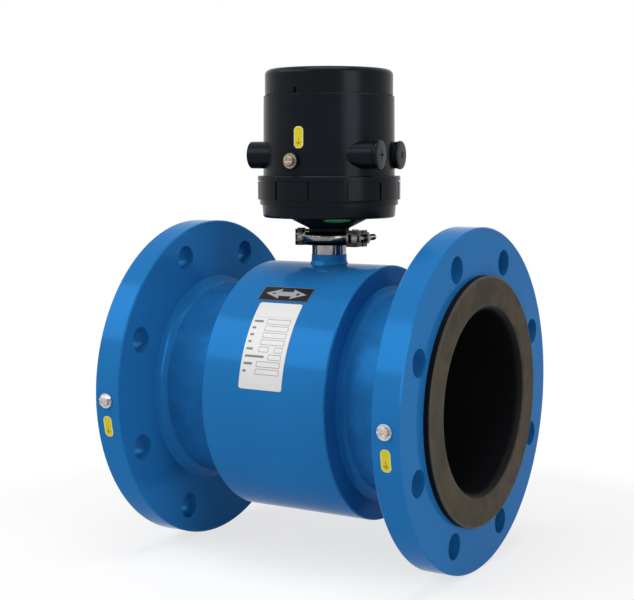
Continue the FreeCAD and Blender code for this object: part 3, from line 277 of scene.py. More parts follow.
def gloss_paint():
    """Sprayed gloss paint: a slow drift of tone, a fine orange peel, and a rolled mottle on the bare tube."""
    finish = Finish("blue_paint")
    paint = colour("paint")
    along, across, up = finish.axes()
    tube = (across * across + up * up).maths("SQRT") < PIPE_RADIUS + 0.6 * MM
    drift = finish.noise(9.0, 3.0).ramp(0.3, 0.7)
    mottle = finish.noise(62.0, 4.0, 0.6).ramp(0.36, 0.66)
    tone = finish.blend(drift, darker(paint, 0.95), darker(paint, 1.05))
    rolled = finish.blend(mottle, darker(paint, 0.88), darker(paint, 1.06))
    peel = finish.noise(330.0, 2.0)
    relief = peel * 0.5 + mottle * tube
    gloss = finish.noise(60.0, 3.0).ramp(0.2, 0.8) * 0.05 + 0.12 + tube * 0.12
    return finish.surface(
        Base_Color=finish.blend(tube, tone, rolled), Roughness=gloss, Metallic=0.12, Specular_IOR_Level=0.03,
        Specular_Tint=(0.22, 0.60, 1.0), Normal=finish.bump(relief, 0.30, 0.05 * MM))


def lining_rubber():
    """The lining: black moulded rubber, rubbed brown-grey on its sealing faces, with a painted highlight that pales
    them at their outer edge.
    """
    finish = Finish("liner_rubber")
    rubber = colour("liner")
    along, across, up = finish.axes()
    radius = (across * across + up * up).maths("SQRT")
    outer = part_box("rubber_liner")[1].z
    face = abs(along).ramp(CAD_BOX[1].x - 1.9 * MM, CAD_BOX[1].x - 1.2 * MM) * radius.ramp(78.4 * MM, 79.4 * MM)
    cloud = finish.noise(17.0, 4.0, 0.6).ramp(0.36, 0.66)
    smudge = finish.noise(52.0, 5.0, 0.66).ramp(0.42, 0.70)
    fine = finish.noise(260.0, 3.0)
    rubbed = finish.blend(cloud, darker(rubber, 0.50), rubber)
    worn = finish.blend(smudge * 0.5, rubbed, (0.084, 0.062, 0.037))
    # Painted highlight: the sealing face is lightened toward its outer edge.
    rim = radius.ramp(outer - 2.4 * MM, outer - 1.2 * MM)
    highlit_face = finish.blend(rim * 0.5, worn, (0.085, 0.085, 0.082))
    black = finish.blend(fine, (0.0022, 0.0024, 0.0032), (0.0050, 0.0054, 0.0066))
    return finish.surface(
        Base_Color=finish.blend(face, black, highlit_face), Roughness=fine * 0.15 + 0.46, Specular_IOR_Level=0.08,
        Normal=finish.bump(fine, 0.4, 0.05 * MM))


def black_rubber(name="seal_rubber"):
    """Plain black seal rubber with a faint grain."""
    finish = Finish(name)
    grain = finish.noise(900.0, 3.0)
    return finish.surface(
        Base_Color=finish.blend(grain, (0.010, 0.010, 0.011), (0.020, 0.020, 0.022)),
        Roughness=grain * 0.2 + 0.55, Normal=finish.bump(grain, 0.3, 0.02 * MM))


def moulded_plastic(name="black_plastic", roughness=0.17):
    """Satin black moulding plastic with an eroded grain."""
    finish = Finish(name)
    plastic = colour("plastic")
    grain = finish.noise(1400.0, 2.0)
    cloud = finish.noise(24.0, 3.0).ramp(0.3, 0.7)
    return finish.surface(
        Base_Color=finish.blend(cloud, darker(plastic, 0.88), darker(plastic, 1.12)),
        Roughness=grain * 0.08 + cloud * 0.05 + roughness, Specular_IOR_Level=0.09,
        Specular_Tint=(0.88, 0.95, 1.0), Normal=finish.bump(grain, 0.25, 0.02 * MM))


def bright_steel():
    """Polished stainless steel: painted dark and bright reflection streaks down the tube, faint turning marks and
    scuffs.
    """
    finish = Finish("stainless_steel")
    steel = colour("steel")
    scuff = finish.noise(700.0, 4.0, 0.6)
    # Painted reflection: upright dark and bright streaks in the colour stand in for a polished tube's reflections.
    upright = finish.add("ShaderNodeMapping", None, {"Vector": finish.place, "Scale": (170.0, 170.0, 34.0)})
    painted_reflection_streaks = finish.noise(1.0, 3.0, 0.6, vector=upright).ramp(0.34, 0.68)
    flat = finish.add("ShaderNodeMapping", None, {"Vector": finish.place, "Scale": (60.0, 60.0, 2400.0)})
    turned = finish.noise(1.0, 2.0, vector=flat)
    tone = finish.blend(painted_reflection_streaks, darker(steel, 0.24), steel)
    return finish.surface(
        Base_Color=finish.blend(scuff * 0.3, tone, darker(steel, 0.6)), Metallic=1.0,
        Roughness=scuff * 0.10 + 0.07, Normal=finish.bump(turned, 0.25, 0.01 * MM))


def cast_steel():
    """Electropolished castings: a painted reflection, bright across the band's middle and darkening toward its upper
    and lower edges, with scuffs.
    """
    finish = Finish("cast_steel")
    steel = colour("steel")
    along, across, up = finish.axes()
    middle = middle_of("clamp_hinge_pin").z
    # Painted reflection: the colour is brightest across the band's middle and darkens toward its upper and lower
    # edges.
    crown = finish.noise(150.0, 2.0) * 3 * MM + abs(up - middle)
    painted_reflection = 1 - crown.ramp(1.6 * MM, 5.4 * MM)
    scuff = finish.noise(420.0, 4.0, 0.6).ramp(0.32, 0.68)
    tone = finish.blend(painted_reflection, darker(steel, 0.07), darker(steel, 0.95))
    return finish.surface(
        Base_Color=finish.blend(scuff * 0.55, tone, darker(steel, 0.12)), Metallic=1.0,
        Roughness=scuff * 0.12 + 0.10, Normal=finish.bump(scuff, 0.3, 0.02 * MM))


def plain_metal(name, shade, roughness, grain_scale=500.0):
    """Another metal, with a cloudy gloss."""
    finish = Finish(name)
    grain = finish.noise(grain_scale, 4.0, 0.6)
    return finish.surface(
        Base_Color=finish.blend(grain.ramp(0.35, 0.65), darker(shade, 0.55), shade), Metallic=1.0,
        Roughness=grain * 0.2 + roughness, Normal=finish.bump(grain, 0.2, 0.01 * MM))


def wound_copper():
    """Enamelled copper wire, wound in close turns about the upright, with painted shade darkening the grooves between
    turns.
    """
    finish = Finish("coil_copper")
    along, across, up = finish.axes()
    turns = (up / (0.6 * MM)).maths("FRACT")
    wire = abs(turns - 0.5)
    # Painted shade: the colour darkens from each turn's crown into the groove between turns.
    return finish.surface(
        Base_Color=finish.blend(wire * 2, (0.62, 0.24, 0.09), (0.28, 0.09, 0.03)), Metallic=0.9,
        Roughness=wire * 0.3 + 0.25, Normal=finish.bump(wire, 0.6, 0.2 * MM))


def plain_plastic(name, shade, roughness=0.4):
    """A small inner moulding."""
    finish = Finish(name)
    grain = finish.noise(600.0, 3.0)
    return finish.surface(
        Base_Color=finish.blend(grain, darker(shade, 0.85), shade), Roughness=grain * 0.15 + roughness,
        Normal=finish.bump(grain, 0.2, 0.02 * MM))


def circuit_board():
    """Green solder mask over a maze of tracks."""
    finish = Finish("board_green")
    cells = finish.add("ShaderNodeTexVoronoi", {"feature": "F1", "distance": "MANHATTAN"},
                       {"Vector": finish.place, "Scale": 260.0})
    track = cells.ramp(0.25, 0.30)
    return finish.surface(
        Base_Color=finish.blend(track, (0.06, 0.30, 0.14), (0.012, 0.13, 0.055)), Roughness=track * 0.1 + 0.25)


def edge_distance(across, down, centre, size):
    """How far a place on a label lies outside a rectangle; inside it is below nought."""
    beside = abs(across - centre[0]) - size[0] / 2
    above = abs(down - centre[1]) - size[1] / 2
    return beside.most(above)


def filled(distance):
    """One inside a printed shape and nought outside."""
    return distance.ramp(0.08 * MM, -0.08 * MM)


def outlined(distance, line):
    """One on a printed line just inside a shape's edge."""
    return filled(abs(distance + line / 2) - line / 2)


def label_frame(node):
    """How a label lies on the coil housing: its middle along the pipe, its turn from the top and its size."""
    low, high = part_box(node)
    turns = [math.atan2(-vertex.co.y, vertex.co.z) for vertex in NODES[node].data.vertices]
    turn = (min(turns) + max(turns)) / 2
    return (low.x + high.x) / 2, turn, high.x - low.x, (max(turns) - min(turns)) * DRUM_RADIUS


def label_places(finish, node):
    """Places on a label bent round the pipe: along the pipe and down the coil housing, from its middle."""
    middle, turn, width, height = label_frame(node)
    along, across, up = finish.axes()
    angle = (across * -1.0).maths("ARCTAN2", up)
    return along - middle, (angle - turn) * DRUM_RADIUS, width, height


# Rating label: left and right ends of the empty boxes in each row, in millimetres from the label's middle.
BOX_ROWS = [[(-6, 16.5)], [(-6, 16.5)], [(-6, 16.5)], [(-6, 16.5)], [(-6, 3), (8.5, 16.5)], [(4, 16.5)],
            [(-6, 16.5)], [(-6, 16.5)]]
# Short grey bars where each row's caption stands.
CAPTIONS = [(-18, -9.5), (-18, -14.5), (-18, -14.5), (-18, -15), (-18, -12), (-18, 0), (-18, -10), (-18, -15)]
FIRST_ROW = -19.3 * MM
ROW_PITCH = 6.14 * MM
BOX_HEIGHT = 4.7 * MM
CAPTION_HEIGHT = 2.0 * MM


def rating_print():
    """A silver-white rating label with rows of empty boxes and plain bars for captions."""
    finish = Finish("silver_label")
    across, down = label_places(finish, "rating_label")[:2]
    ink = None
    for row, (boxes, caption) in enumerate(zip(BOX_ROWS, CAPTIONS)):
        level = FIRST_ROW + row * ROW_PITCH
        marks = []
        for left, right in boxes:
            centre = ((left + right) / 2 * MM, level)
            shape = edge_distance(across, down, centre, ((right - left) * MM, BOX_HEIGHT))
            marks.append(outlined(shape, 0.45 * MM) * 0.85)
        centre = ((caption[0] + caption[1]) / 2 * MM, level)
        shape = edge_distance(across, down, centre, ((caption[1] - caption[0]) * MM, CAPTION_HEIGHT))
        marks.append(filled(shape) * 0.9)
        for mark in marks:
            ink = mark if ink is None else ink.most(mark)
    header = filled(edge_distance(across, down, (0.0, FIRST_ROW - 4.0 * MM), (36 * MM, 0.35 * MM)))
    ink = ink.most(header * 0.4)
    grain = finish.noise(300.0, 3.0)
    silver = finish.blend(grain, (0.55, 0.55, 0.545), (0.63, 0.63, 0.625))
    return finish.surface(
        Base_Color=finish.blend(ink, silver, (0.06, 0.06, 0.07)), Roughness=grain * 0.1 + 0.3)


def arrow_print():
    """A black label with a light border and a double-headed arrow, a minus and a plus in its heads."""
    finish = Finish("black_label")
    across, down, width, height = label_places(finish, "flow_arrow_label")
    tip, root = 19.6 * MM, 6.8 * MM
    reach = abs(across)
    rise = abs(down)
    flank = rise - (reach * -1.0 + tip) * 0.41
    back = (reach + rise * 0.25) * -1.0 + root
    head = flank.most(back)
    shaft = (rise - 2.6 * MM).most(reach - root - 1.5 * MM)
    arrow = filled(head.least(shaft))
    minus = filled(edge_distance(across, down, (-11.6 * MM, 0.0), (3.8 * MM, 1.1 * MM)))
    plus_bar = filled(edge_distance(across, down, (11.4 * MM, 0.0), (3.8 * MM, 1.1 * MM)))
    plus_post = filled(edge_distance(across, down, (11.4 * MM, 0.0), (1.1 * MM, 3.8 * MM)))
    signs = minus.most(plus_bar).most(plus_post)
    border = outlined(edge_distance(across, down, (0.0, 0.0), (width, height)), 0.5 * MM)
    light = (arrow - signs).most(border * 0.45)
    grain = finish.noise(300.0, 3.0)
    ground = finish.blend(grain, (0.008, 0.008, 0.010), (0.016, 0.016, 0.019))
    return finish.surface(
        Base_Color=finish.blend(light, ground, (0.29, 0.29, 0.31)), Roughness=grain * 0.1 + 0.25,
        Specular_IOR_Level=0.08)


def yellow_print():
    """Yellow label stock with a thin frame and an earth mark: a post on three bars of falling length."""
    finish = Finish("yellow_label")
    yellow = colour("yellow")
    rim, wall = middle_of("outlet_earth_label"), middle_of("converter_earth_label")
    low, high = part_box("outlet_earth_label")
    width, height = high.x - low.x, high.z - low.z
    along, across, up = finish.axes()
    upper = up > 0.0
    beside = (abs(along) - rim.x) * (1 - upper) + (along - wall.x) * upper
    above = (up - rim.z) * (1 - upper) + (up - wall.z) * upper
    edge = edge_distance(beside, above, (0.0, 0.0), (width, height))
    pale = edge.ramp(-1.1 * MM, -0.5 * MM) * 0.75
    marks = filled(edge_distance(beside, above, (0.0, -2.1 * MM), (0.45 * MM, 3.6 * MM))) * 0.85
    bars = ((4.0, -4.1), (2.8, -4.9), (1.5, -5.7))
    for wide, level in bars:
        shape = edge_distance(beside, above, (0.0, level * MM), (wide * MM, 0.5 * MM))
        marks = marks.most(filled(shape) * 0.85)
    grain = finish.noise(240.0, 3.0)
    stock = finish.blend(pale, finish.blend(grain, darker(yellow, 0.92), yellow), (0.66, 0.66, 0.42))
    return finish.surface(
        Base_Color=finish.blend(marks, stock, (0.05, 0.045, 0.01)), Roughness=grain * 0.1 + 0.3,
        Specular_IOR_Level=0.15)


FINISHES = {
    "blue_paint": gloss_paint,
    "liner_rubber": lining_rubber,
    "seal_rubber": black_rubber,
    "stainless_steel": bright_steel,
    "cast_steel": cast_steel,
    "core_steel": lambda: plain_metal("core_steel", (0.42, 0.42, 0.43), 0.35),
    "coil_copper": wound_copper,
    "bush_plastic": lambda: plain_plastic("bush_plastic", (0.72, 0.71, 0.66)),
    "black_plastic": moulded_plastic,
    "matt_plastic": lambda: moulded_plastic("matt_plastic", 0.5),
    "earth_steel": lambda: plain_metal("earth_steel", colour("earth"), 0.18),
    "bright_screw": lambda: plain_metal("bright_screw", (0.74, 0.64, 0.60), 0.14),
    "bright_washer": lambda: plain_metal("bright_washer", (0.66, 0.72, 0.78), 0.16),
    "yellow_label": yellow_print,
    "silver_label": rating_print,
    "black_label": arrow_print,
    "green_plastic": lambda: plain_plastic("green_plastic", (0.020, 0.22, 0.070), 0.3),
    "board_green": circuit_board,
    "brass": lambda: plain_metal("brass", (0.70, 0.50, 0.20), 0.25),
    "connector_plastic": lambda: plain_plastic("connector_plastic", (0.14, 0.14, 0.15)),
}
made_finishes = {}


def finish_of(slot):
    """The material of one of the record's slots, made once."""
    if slot not in made_finishes:
        made_finishes[slot] = FINISHES[slot]()
    return made_finishes[slot]


def dress(piece, slot):
    """Give a piece one finish all over."""
    piece.data.materials.clear()
    piece.data.materials.append(finish_of(slot))


# ---------------------------------------------------------------- modelling


def added(kind, **place):
    """A new primitive at its size and place, with nothing else selected."""
    bpy.ops.object.select_all(action="DESELECT")
    getattr(bpy.ops.mesh, "primitive_" + kind + "_add")(**place)
    bpy.ops.object.transform_apply(location=True, rotation=True, scale=True)
    return bpy.context.object


def active(piece):
    """Select one piece alone."""
    bpy.ops.object.select_all(action="DESELECT")
    piece.select_set(True)
    bpy.context.view_layer.objects.active = piece
    return piece


def modified(piece, kind, **settings):
    """Add a modifier to a piece and apply it."""
    active(piece)
    modifier = piece.modifiers.new(kind.title(), kind)
    for name, value in settings.items():
        setattr(modifier, name, value)
    bpy.ops.object.modifier_apply(modifier=modifier.name)
    return piece


def carved(piece, tool, operation="DIFFERENCE"):
    """Cut a tool out of a piece, or keep what they share, and throw the tool away."""
    modified(piece, "BOOLEAN", operation=operation, object=tool, solver="EXACT")
    bpy.data.objects.remove(tool)
    return piece


def softened(piece, width, segments=2):
    """Round a piece's sharp edges and shade it smooth between them."""
    modified(piece, "BEVEL", width=width, segments=segments, limit_method="ANGLE", angle_limit=math.radians(32))
    bpy.ops.object.shade_smooth_by_angle(angle=math.radians(32))
    return piece


def seated(piece, name, body, slot, *nodes):
    """Name a finished piece, give it its finish and hang it on its body in place of its plain solids."""
    piece.name = name
    piece.data.name = name
    dress(piece, slot)
    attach(piece, body)
    if nodes:
        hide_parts(*nodes)
    return piece


BODY_OF = {node: body for body, nodes in frame["record"]["behaviour"]["bodies"].items() for node in nodes}
SLOT_OF = {part["node"]: part["material_slot"] for part in frame["record"]["subparts"]}


def edit_all(piece, *steps):
    """Run edit-mode steps on the whole of a piece."""
    active(piece)
    bpy.ops.object.mode_set(mode="EDIT")
    for step in steps:
        bpy.ops.mesh.select_all(action="SELECT")
        step()
    bpy.ops.object.mode_set(mode="OBJECT")
    return piece


def merge_doubles():
    """Merge the selected corners that lie at one place."""
    bpy.ops.mesh.remove_doubles(threshold=DOUBLES_REACH)


def join_flat_faces():
    """Join the selected faces that lie nearly flat to each other."""
    bpy.ops.mesh.dissolve_limited(angle_limit=math.radians(FLAT_ANGLE))


def join_level_faces():
    """Join only faces in one plane, so that a curved wall keeps its facets."""
    bpy.ops.mesh.dissolve_limited(angle_limit=math.radians(LEVEL_ANGLE))


def drop_loose():
    bpy.ops.mesh.delete_loose(use_verts=True, use_edges=True, use_faces=False)


def face_outward():
    bpy.ops.mesh.normals_make_consistent(inside=False)


def close_copy(node):
    """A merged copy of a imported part's mesh, its flat faces joined again."""
    source = NODES[node]
    piece = bpy.data.objects.new(node + "_copy", source.data.copy())
    bpy.context.scene.collection.objects.link(piece)
    edit_all(piece, merge_doubles, join_flat_faces, face_outward)
    return piece


def eased(piece, width, segments=2, angle=30):
    """Round a piece's corners and even out the shading of what lies between them."""
    edit_all(piece)
    bpy.ops.object.shade_smooth_by_angle(angle=math.radians(angle))
    modified(piece, "BEVEL", width=width, segments=segments, limit_method="ANGLE",
             angle_limit=math.radians(angle), use_clamp_overlap=True, miter_outer="MITER_ARC")
    bpy.ops.object.shade_smooth_by_angle(angle=math.radians(38))
    modified(piece, "WEIGHTED_NORMAL", keep_sharp=True)
    return piece


def lathed(points, centre, axis, out, steps=96):
    """Turn a closed profile of (along, radius) corners, in metres, about an axis through a centre."""
    axis, out, centre = Vector(axis).normalized(), Vector(out).normalized(), Vector(centre)
    corners = [centre + axis * along + out * radius for along, radius in points]
    piece = added("plane", size=MM, location=corners[0])
    bpy.ops.object.mode_set(mode="EDIT")
    bpy.ops.mesh.select_all(action="SELECT")
    bpy.ops.mesh.merge(type="CENTER")
    for start, end in zip(corners, [*corners[1:], corners[0]]):
        bpy.ops.mesh.extrude_region_move(TRANSFORM_OT_translate={"value": end - start})
    bpy.ops.mesh.select_all(action="SELECT")
    merge_doubles()
    bpy.ops.mesh.select_all(action="SELECT")
    bpy.ops.mesh.spin(steps=steps, angle=2 * math.pi, center=centre, axis=axis)
    bpy.ops.mesh.select_all(action="SELECT")
    merge_doubles()
    bpy.ops.mesh.select_all(action="SELECT")
    drop_loose()
    bpy.ops.mesh.select_all(action="SELECT")
    face_outward()
    bpy.ops.object.mode_set(mode="OBJECT")
    return piece


def weld_bead(node, face_side):
    """A smooth fillet weld round the pipe with faint ripples, in the corner between it and a plate.

    face_side is -1 where the plate is on the low side of the weld along the pipe, and 1 on the high side.
    """
    low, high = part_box(node)
    face = low.x if face_side < 0 else high.x
    run = (high.x - low.x) * -face_side
    rise = high.z - PIPE_RADIUS
    ripples = round(2 * math.pi * PIPE_RADIUS / sizes().weld_pitch)
    around, section = ripples * 4, 16
    bead = added("torus", location=(face, 0, 0), rotation=(0, math.pi / 2, 0), major_segments=around,
                 minor_segments=section, major_radius=PIPE_RADIUS + rise / 2, minor_radius=rise / 2)
    for vertex in bead.data.vertices:
        turn = math.atan2(vertex.co.y, vertex.co.z)
        radius = math.hypot(vertex.co.y, vertex.co.z)
        part = math.atan2(radius - PIPE_RADIUS - rise / 2, (vertex.co.x - face) * -face_side)
        along, out = weld_section(part)
        wave = math.cos(turn * ripples + 5 * (along - out) ** 2) * sizes().weld_ripple * (along * out) ** 0.5
        vertex.co.x = face + run * along
        reach = PIPE_RADIUS + rise * out + wave
        vertex.co.y, vertex.co.z = math.sin(turn) * reach, math.cos(turn) * reach
    edit_all(bead, face_outward)
    bpy.ops.object.shade_smooth_by_angle(angle=math.radians(40))
    return seated(bead, node.replace("_weld", "_bead"), BODY_OF[node], "blue_paint", node)


def weld_section(part):
    """The weld's outline at an angle round its section: shares of its leg along the pipe and out from it."""
    swing = (part + math.pi) % (2 * math.pi) - math.pi
    if -math.pi / 4 <= swing <= 3 * math.pi / 4:
        share = (swing + math.pi / 4) / math.pi
        sag = 1 - 0.16 * math.sin(math.pi * share)
        return (1 - share) * sag, share * sag
    back = (swing - 3 * math.pi / 4) % (2 * math.pi) / math.pi
    return (0.0, 1 - 2 * back) if back < 0.5 else (2 * back - 1, 0.0)


class FLOWMETER_OT_finishes(bpy.types.Operator):
    """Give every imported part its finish"""

    bl_idname = "flowmeter.finishes"
    bl_label = "Finish the packed parts"

    def execute(self, context):
        for part in frame["record"]["subparts"]:
            node = NODES[part["node"]]
            dress(node, part["material_slot"])
        return {"FINISHED"}


class FLOWMETER_OT_welds(bpy.types.Operator):
    """Model the weld beads round the pipe"""

    bl_idname = "flowmeter.welds"
    bl_label = "Weld beads"

    def execute(self, context):
        weld_bead("inlet_flange_weld", -1)
        weld_bead("inlet_plate_weld", 1)
        weld_bead("outlet_plate_weld", -1)
        weld_bead("outlet_flange_weld", 1)
        eased_part("neck_weld", "neck_bead", 0.4 * MM)
        eased_part("neck_collar", "eased_collar", sizes().edge_round)
        return {"FINISHED"}


def eased_part(node, name, width, segments=2, angle=30):
    """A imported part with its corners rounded."""
    piece = eased(close_copy(node), width, segments, angle)
    return seated(piece, name, BODY_OF[node], SLOT_OF[node], node)


class FLOWMETER_OT_converter(bpy.types.Operator):
    """Round the corners of the converter's mouldings"""

    bl_idname = "flowmeter.converter"
    bl_label = "Converter mouldings"

    def execute(self, context):
        width = sizes().moulded_round
        eased_part("converter_housing", "moulded_housing", width)
        eased_part("converter_lid", "moulded_lid", width)
        eased_part("union_ring", "moulded_ring", width)
        eased_part("converter_base", "moulded_base", width)
        dress(eased_part("neck_adapter", "moulded_adapter", width), "matt_plastic")
        return {"FINISHED"}


def blanking_head(place, body, twist):
    """A screwed blanking plug: a crowned head with a turned step and a cross recess, on its shank."""
    node = place + "_blanking_plug"
    middle = middle_of(node)
    turn = plug_turn()
    axis = Vector((math.cos(turn), math.sin(turn), 0))
    corners = [vertex.co for vertex in NODES[node].data.vertices]
    level = middle.z
    foot = min(corner.dot(axis) for corner in corners)
    crown = max(corner.dot(axis) for corner in corners)
    reach = max(corner.z for corner in corners) - level
    shank = max(corner.z - level for corner in corners if corner.dot(axis) < foot + 2 * MM)
    side = Vector((-axis.y, axis.x, 0))
    offset = sum((corner.dot(side) for corner in corners)) / len(corners)
    centre = side * offset + Vector((0, 0, level))
    seat = crown - 3.4 * MM
    points = [(foot, 0), (foot, shank), (seat, shank), (seat, reach - 0.5 * MM), (seat + 0.5 * MM, reach),
              (crown - 1.5 * MM, reach), (crown - 0.9 * MM, reach - 0.35 * MM), (crown - 0.7 * MM, reach - 1.4 * MM),
              (crown - 0.35 * MM, reach - 1.7 * MM), (crown - 0.1 * MM, reach - 4.6 * MM), (crown, 2.4 * MM),
              (crown, 0)]
    plug = lathed(points, centre, axis, (0, 0, 1), 72)
    for quarter in (0.0, math.pi / 2):
        spin = Quaternion(axis, twist + quarter) @ Quaternion((0, 0, 1), turn)
        recess = added("cube", size=1, location=centre + axis * crown, rotation=spin.to_euler(),
                       scale=(3 * MM, 7.4 * MM, 1.3 * MM))
        carved(plug, recess)
    bpy.ops.object.shade_smooth_by_angle(angle=math.radians(28))
    return seated(plug, place + "_crowned_plug", body, SLOT_OF[node], node)


def plug_turn():
    """The turn of the cable entries from the pipe axis, from the near plug's flat face."""
    faces = NODES["near_blanking_plug"].data.polygons
    face = max(faces, key=lambda part: part.area * (part.normal.x > 0.9) * (abs(part.normal.z) < 0.01))
    return math.atan2(face.normal.y, face.normal.x)


class FLOWMETER_OT_plugs(bpy.types.Operator):
    """Model the blanking plugs' crowned heads"""

    bl_idname = "flowmeter.plugs"
    bl_label = "Blanking plugs"

    def execute(self, context):
        blanking_head("near", "near_plug", 0.0)
        blanking_head("far", "far_plug", math.radians(40))
        eased_part("left_blanking_plug", "flush_plug", 0.3 * MM)
        return {"FINISHED"}


def clamp_shaper(side):
    """The ring that rounds the clamp's band above or below its middle; side is 1 or -1."""
    middle = middle_of("clamp_hinge_pin").z
    outer = 23.5 * MM
    points = [(0.6, 0.15), (0.6, -0.02), (1.6, -0.12), (2.8, -0.55), (3.9, -1.35), (4.8, -2.55), (5.3, -3.9),
              (5.75, -4.3), (5.75, 0.15)]
    profile = [(middle + side * along * MM, outer + out * MM) for along, out in points]
    return lathed(profile, (0, 0, 0), (0, 0, 1), (0, 1, 0), 120)


def on_lug_rim(ends, middle, pins):
    """Whether an edge runs along the upper or lower rim of a lug, clear of the pins and of the split."""
    high = all(abs(end.z - middle) > 6.9 * MM for end in ends)
    outside = all(abs(end.x) > 24.2 * MM for end in ends)
    split = all(abs(end.y) < 0.8 * MM for end in ends)
    at_pin = any(math.hypot(end.x - pin.x, end.y - pin.y) < 3.4 * MM for end in ends for pin in pins)
    return high and outside and not split and not at_pin


def rounded_lugs(piece, width):
    """Round the upper and lower rims of a clamp half's lugs."""
    active(piece)
    bpy.ops.object.mode_set(mode="EDIT")
    bpy.ops.mesh.select_mode(type="EDGE")
    bpy.ops.mesh.select_all(action="DESELECT")
    bpy.ops.object.mode_set(mode="OBJECT")
    middle = middle_of("clamp_hinge_pin").z
    pins = [middle_of("clamp_hinge_pin"), middle_of("swing_bolt_pin")]
    for edge in piece.data.edges:
        ends = [piece.data.vertices[number].co for number in edge.vertices]
        edge.select = on_lug_rim(ends, middle, pins)
    bpy.ops.object.mode_set(mode="EDIT")
    bpy.ops.mesh.bevel(offset=width, segments=3, affect="EDGES", clamp_overlap=True)
    bpy.ops.mesh.select_mode(type="VERT")
    bpy.ops.object.mode_set(mode="OBJECT")
    return piece


def threaded_bolt():
    """The clamp bolt, cut off beyond its nut and carried on as a threaded rod."""
    bolt = close_copy("swing_bolt")
    end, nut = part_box("swing_bolt")[1].y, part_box("clamp_nut")[1].y
    axis = Vector((middle_of("clamp_nut").x, 0, middle_of("clamp_nut").z))
    radius = max(vertex.co.z - axis.z for vertex in bolt.data.vertices if vertex.co.y > end - 0.2 * MM)
    start = nut + 0.5 * MM
    active(bolt)
    bpy.ops.object.mode_set(mode="EDIT")
    bpy.ops.mesh.select_all(action="SELECT")
    bpy.ops.mesh.bisect(plane_co=(0, start, 0), plane_no=(0, 1, 0), use_fill=True, clear_outer=True)
    bpy.ops.object.mode_set(mode="OBJECT")
    eased(bolt, sizes().edge_round, 1)
    pitch = sizes().thread_pitch
    turns = int((end - start - 0.8 * MM) / pitch)
    points = [(start - 0.5 * MM, 0), (start - 0.5 * MM, radius)]
    for turn in range(turns):
        points.append((start + turn * pitch, radius))
        points.append((start + (turn + 0.5) * pitch, radius - 0.55 * pitch))
    points += [(start + turns * pitch, radius), (end - 0.5 * MM, radius), (end, radius - 0.5 * MM), (end, 0)]
    rod = lathed(points, axis, (0, 1, 0), (0, 0, 1), 40)
    bpy.ops.object.shade_smooth_by_angle(angle=math.radians(30))
    bolt.select_set(True)
    rod.select_set(True)
    bpy.context.view_layer.objects.active = bolt
    bpy.ops.object.join()
    seated(bolt, "threaded_swing_bolt", BODY_OF["swing_bolt"], SLOT_OF["swing_bolt"], "swing_bolt")
    dress(bolt, "cast_steel")


class FLOWMETER_OT_clamp(bpy.types.Operator):
    """Round the clamp's band, lugs, bolt and nut"""

    bl_idname = "flowmeter.clamp"
    bl_label = "Neck clamp"

    def execute(self, context):
        for half in ("front", "rear"):
            piece = close_copy(half + "_clamp_half")
            for side in (1, -1):
                carved(piece, clamp_shaper(side))
            # Slivers from the cut shade dark on the rear band; the front band is clean without this.
            if half == "rear":
                edit_all(piece, merge_doubles, join_level_faces)
            rounded_lugs(piece, 1.6 * MM)
            eased(piece, 0.35 * MM, 2, 34)
            node = half + "_clamp_half"
            seated(piece, half + "_clamp_band", BODY_OF[node], SLOT_OF[node], node)
            dress(piece, "cast_steel")
        threaded_bolt()
        dress(eased_part("clamp_nut", "eased_clamp_nut", 0.3 * MM), "cast_steel")
        dress(NODES["clamp_hinge_pin"], "cast_steel")
        eased_part("lower_ferrule", "eased_ferrule", sizes().edge_round)
        return {"FINISHED"}


def hexagon_screw(node, body, name):
    """An earth screw with a chamfered hexagon head and a slot, pointing toward the front."""
    low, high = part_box(node)
    middle = middle_of(node)
    corner = (high.x - low.x) / 2
    head_height = 3.6 * MM
    length = high.y - low.y
    across = {"rotation": (math.pi / 2, 0, 0)}
    head = added("cylinder", vertices=6, radius=corner, depth=head_height,
                 location=(middle.x, low.y + head_height / 2, middle.z), **across)
    dome = added("cone", vertices=48, radius1=corner * 1.9, radius2=corner * 0.82, depth=head_height * 1.25,
                 location=(middle.x, low.y + head_height * 0.625, middle.z), **across)
    carved(head, dome, "INTERSECT")
    slot = added("cube", size=1, location=(middle.x, low.y, middle.z), scale=(4 * corner, 2.2 * MM, 1.1 * MM))
    carved(head, slot)
    softened(head, sizes().edge_round)
    shank = added("cylinder", vertices=32, radius=2.5 * MM, depth=length - head_height,
                  location=(middle.x, (low.y + head_height + high.y) / 2, middle.z), **across)
    head.select_set(True)
    bpy.context.view_layer.objects.active = head
    bpy.ops.object.join()
    return seated(head, name, body, "earth_steel", node)


class FLOWMETER_OT_earth_screws(bpy.types.Operator):
    """Model the earth screws on the flanges and the converter"""

    bl_idname = "flowmeter.earth_screws"
    bl_label = "Earth screws"

    def execute(self, context):
        hexagon_screw("converter_earth_screw", "converter_screw", "converter_slotted_screw")
        for place in ("inlet", "outlet"):
            screw = hexagon_screw(place + "_earth_screw", place + "_screw", place + "_slotted_screw")
            dress(screw, "bright_screw")
        dress(NODES["flange_earth_washers"], "bright_washer")
        return {"FINISHED"}


# ---------------------------------------------------------------- studio

CAMERA_PLACE = Vector((0.58738, -0.99684, 0.19456))
CAMERA_PITCH = math.radians(-6.35)
CAMERA_YAW = math.radians(30.1)
CAMERA_LENS = 76.18
CAMERA_SHIFT = (-0.0343, 0.0187)
FILL_LEVEL = 0.33


def soft_lamp(name, place, target, width, height, power):
    """A rectangular soft box that faces a point."""
    lamp = bpy.data.lights.new(name, "AREA")
    lamp.shape = "RECTANGLE"
    lamp.size = width
    lamp.size_y = height
    lamp.energy = power
    holder = bpy.data.objects.new(name, lamp)
    bpy.context.scene.collection.objects.link(holder)
    holder.location = place
    holder.rotation_euler = (Vector(target) - Vector(place)).to_track_quat("-Z", "Y").to_euler()
    return holder


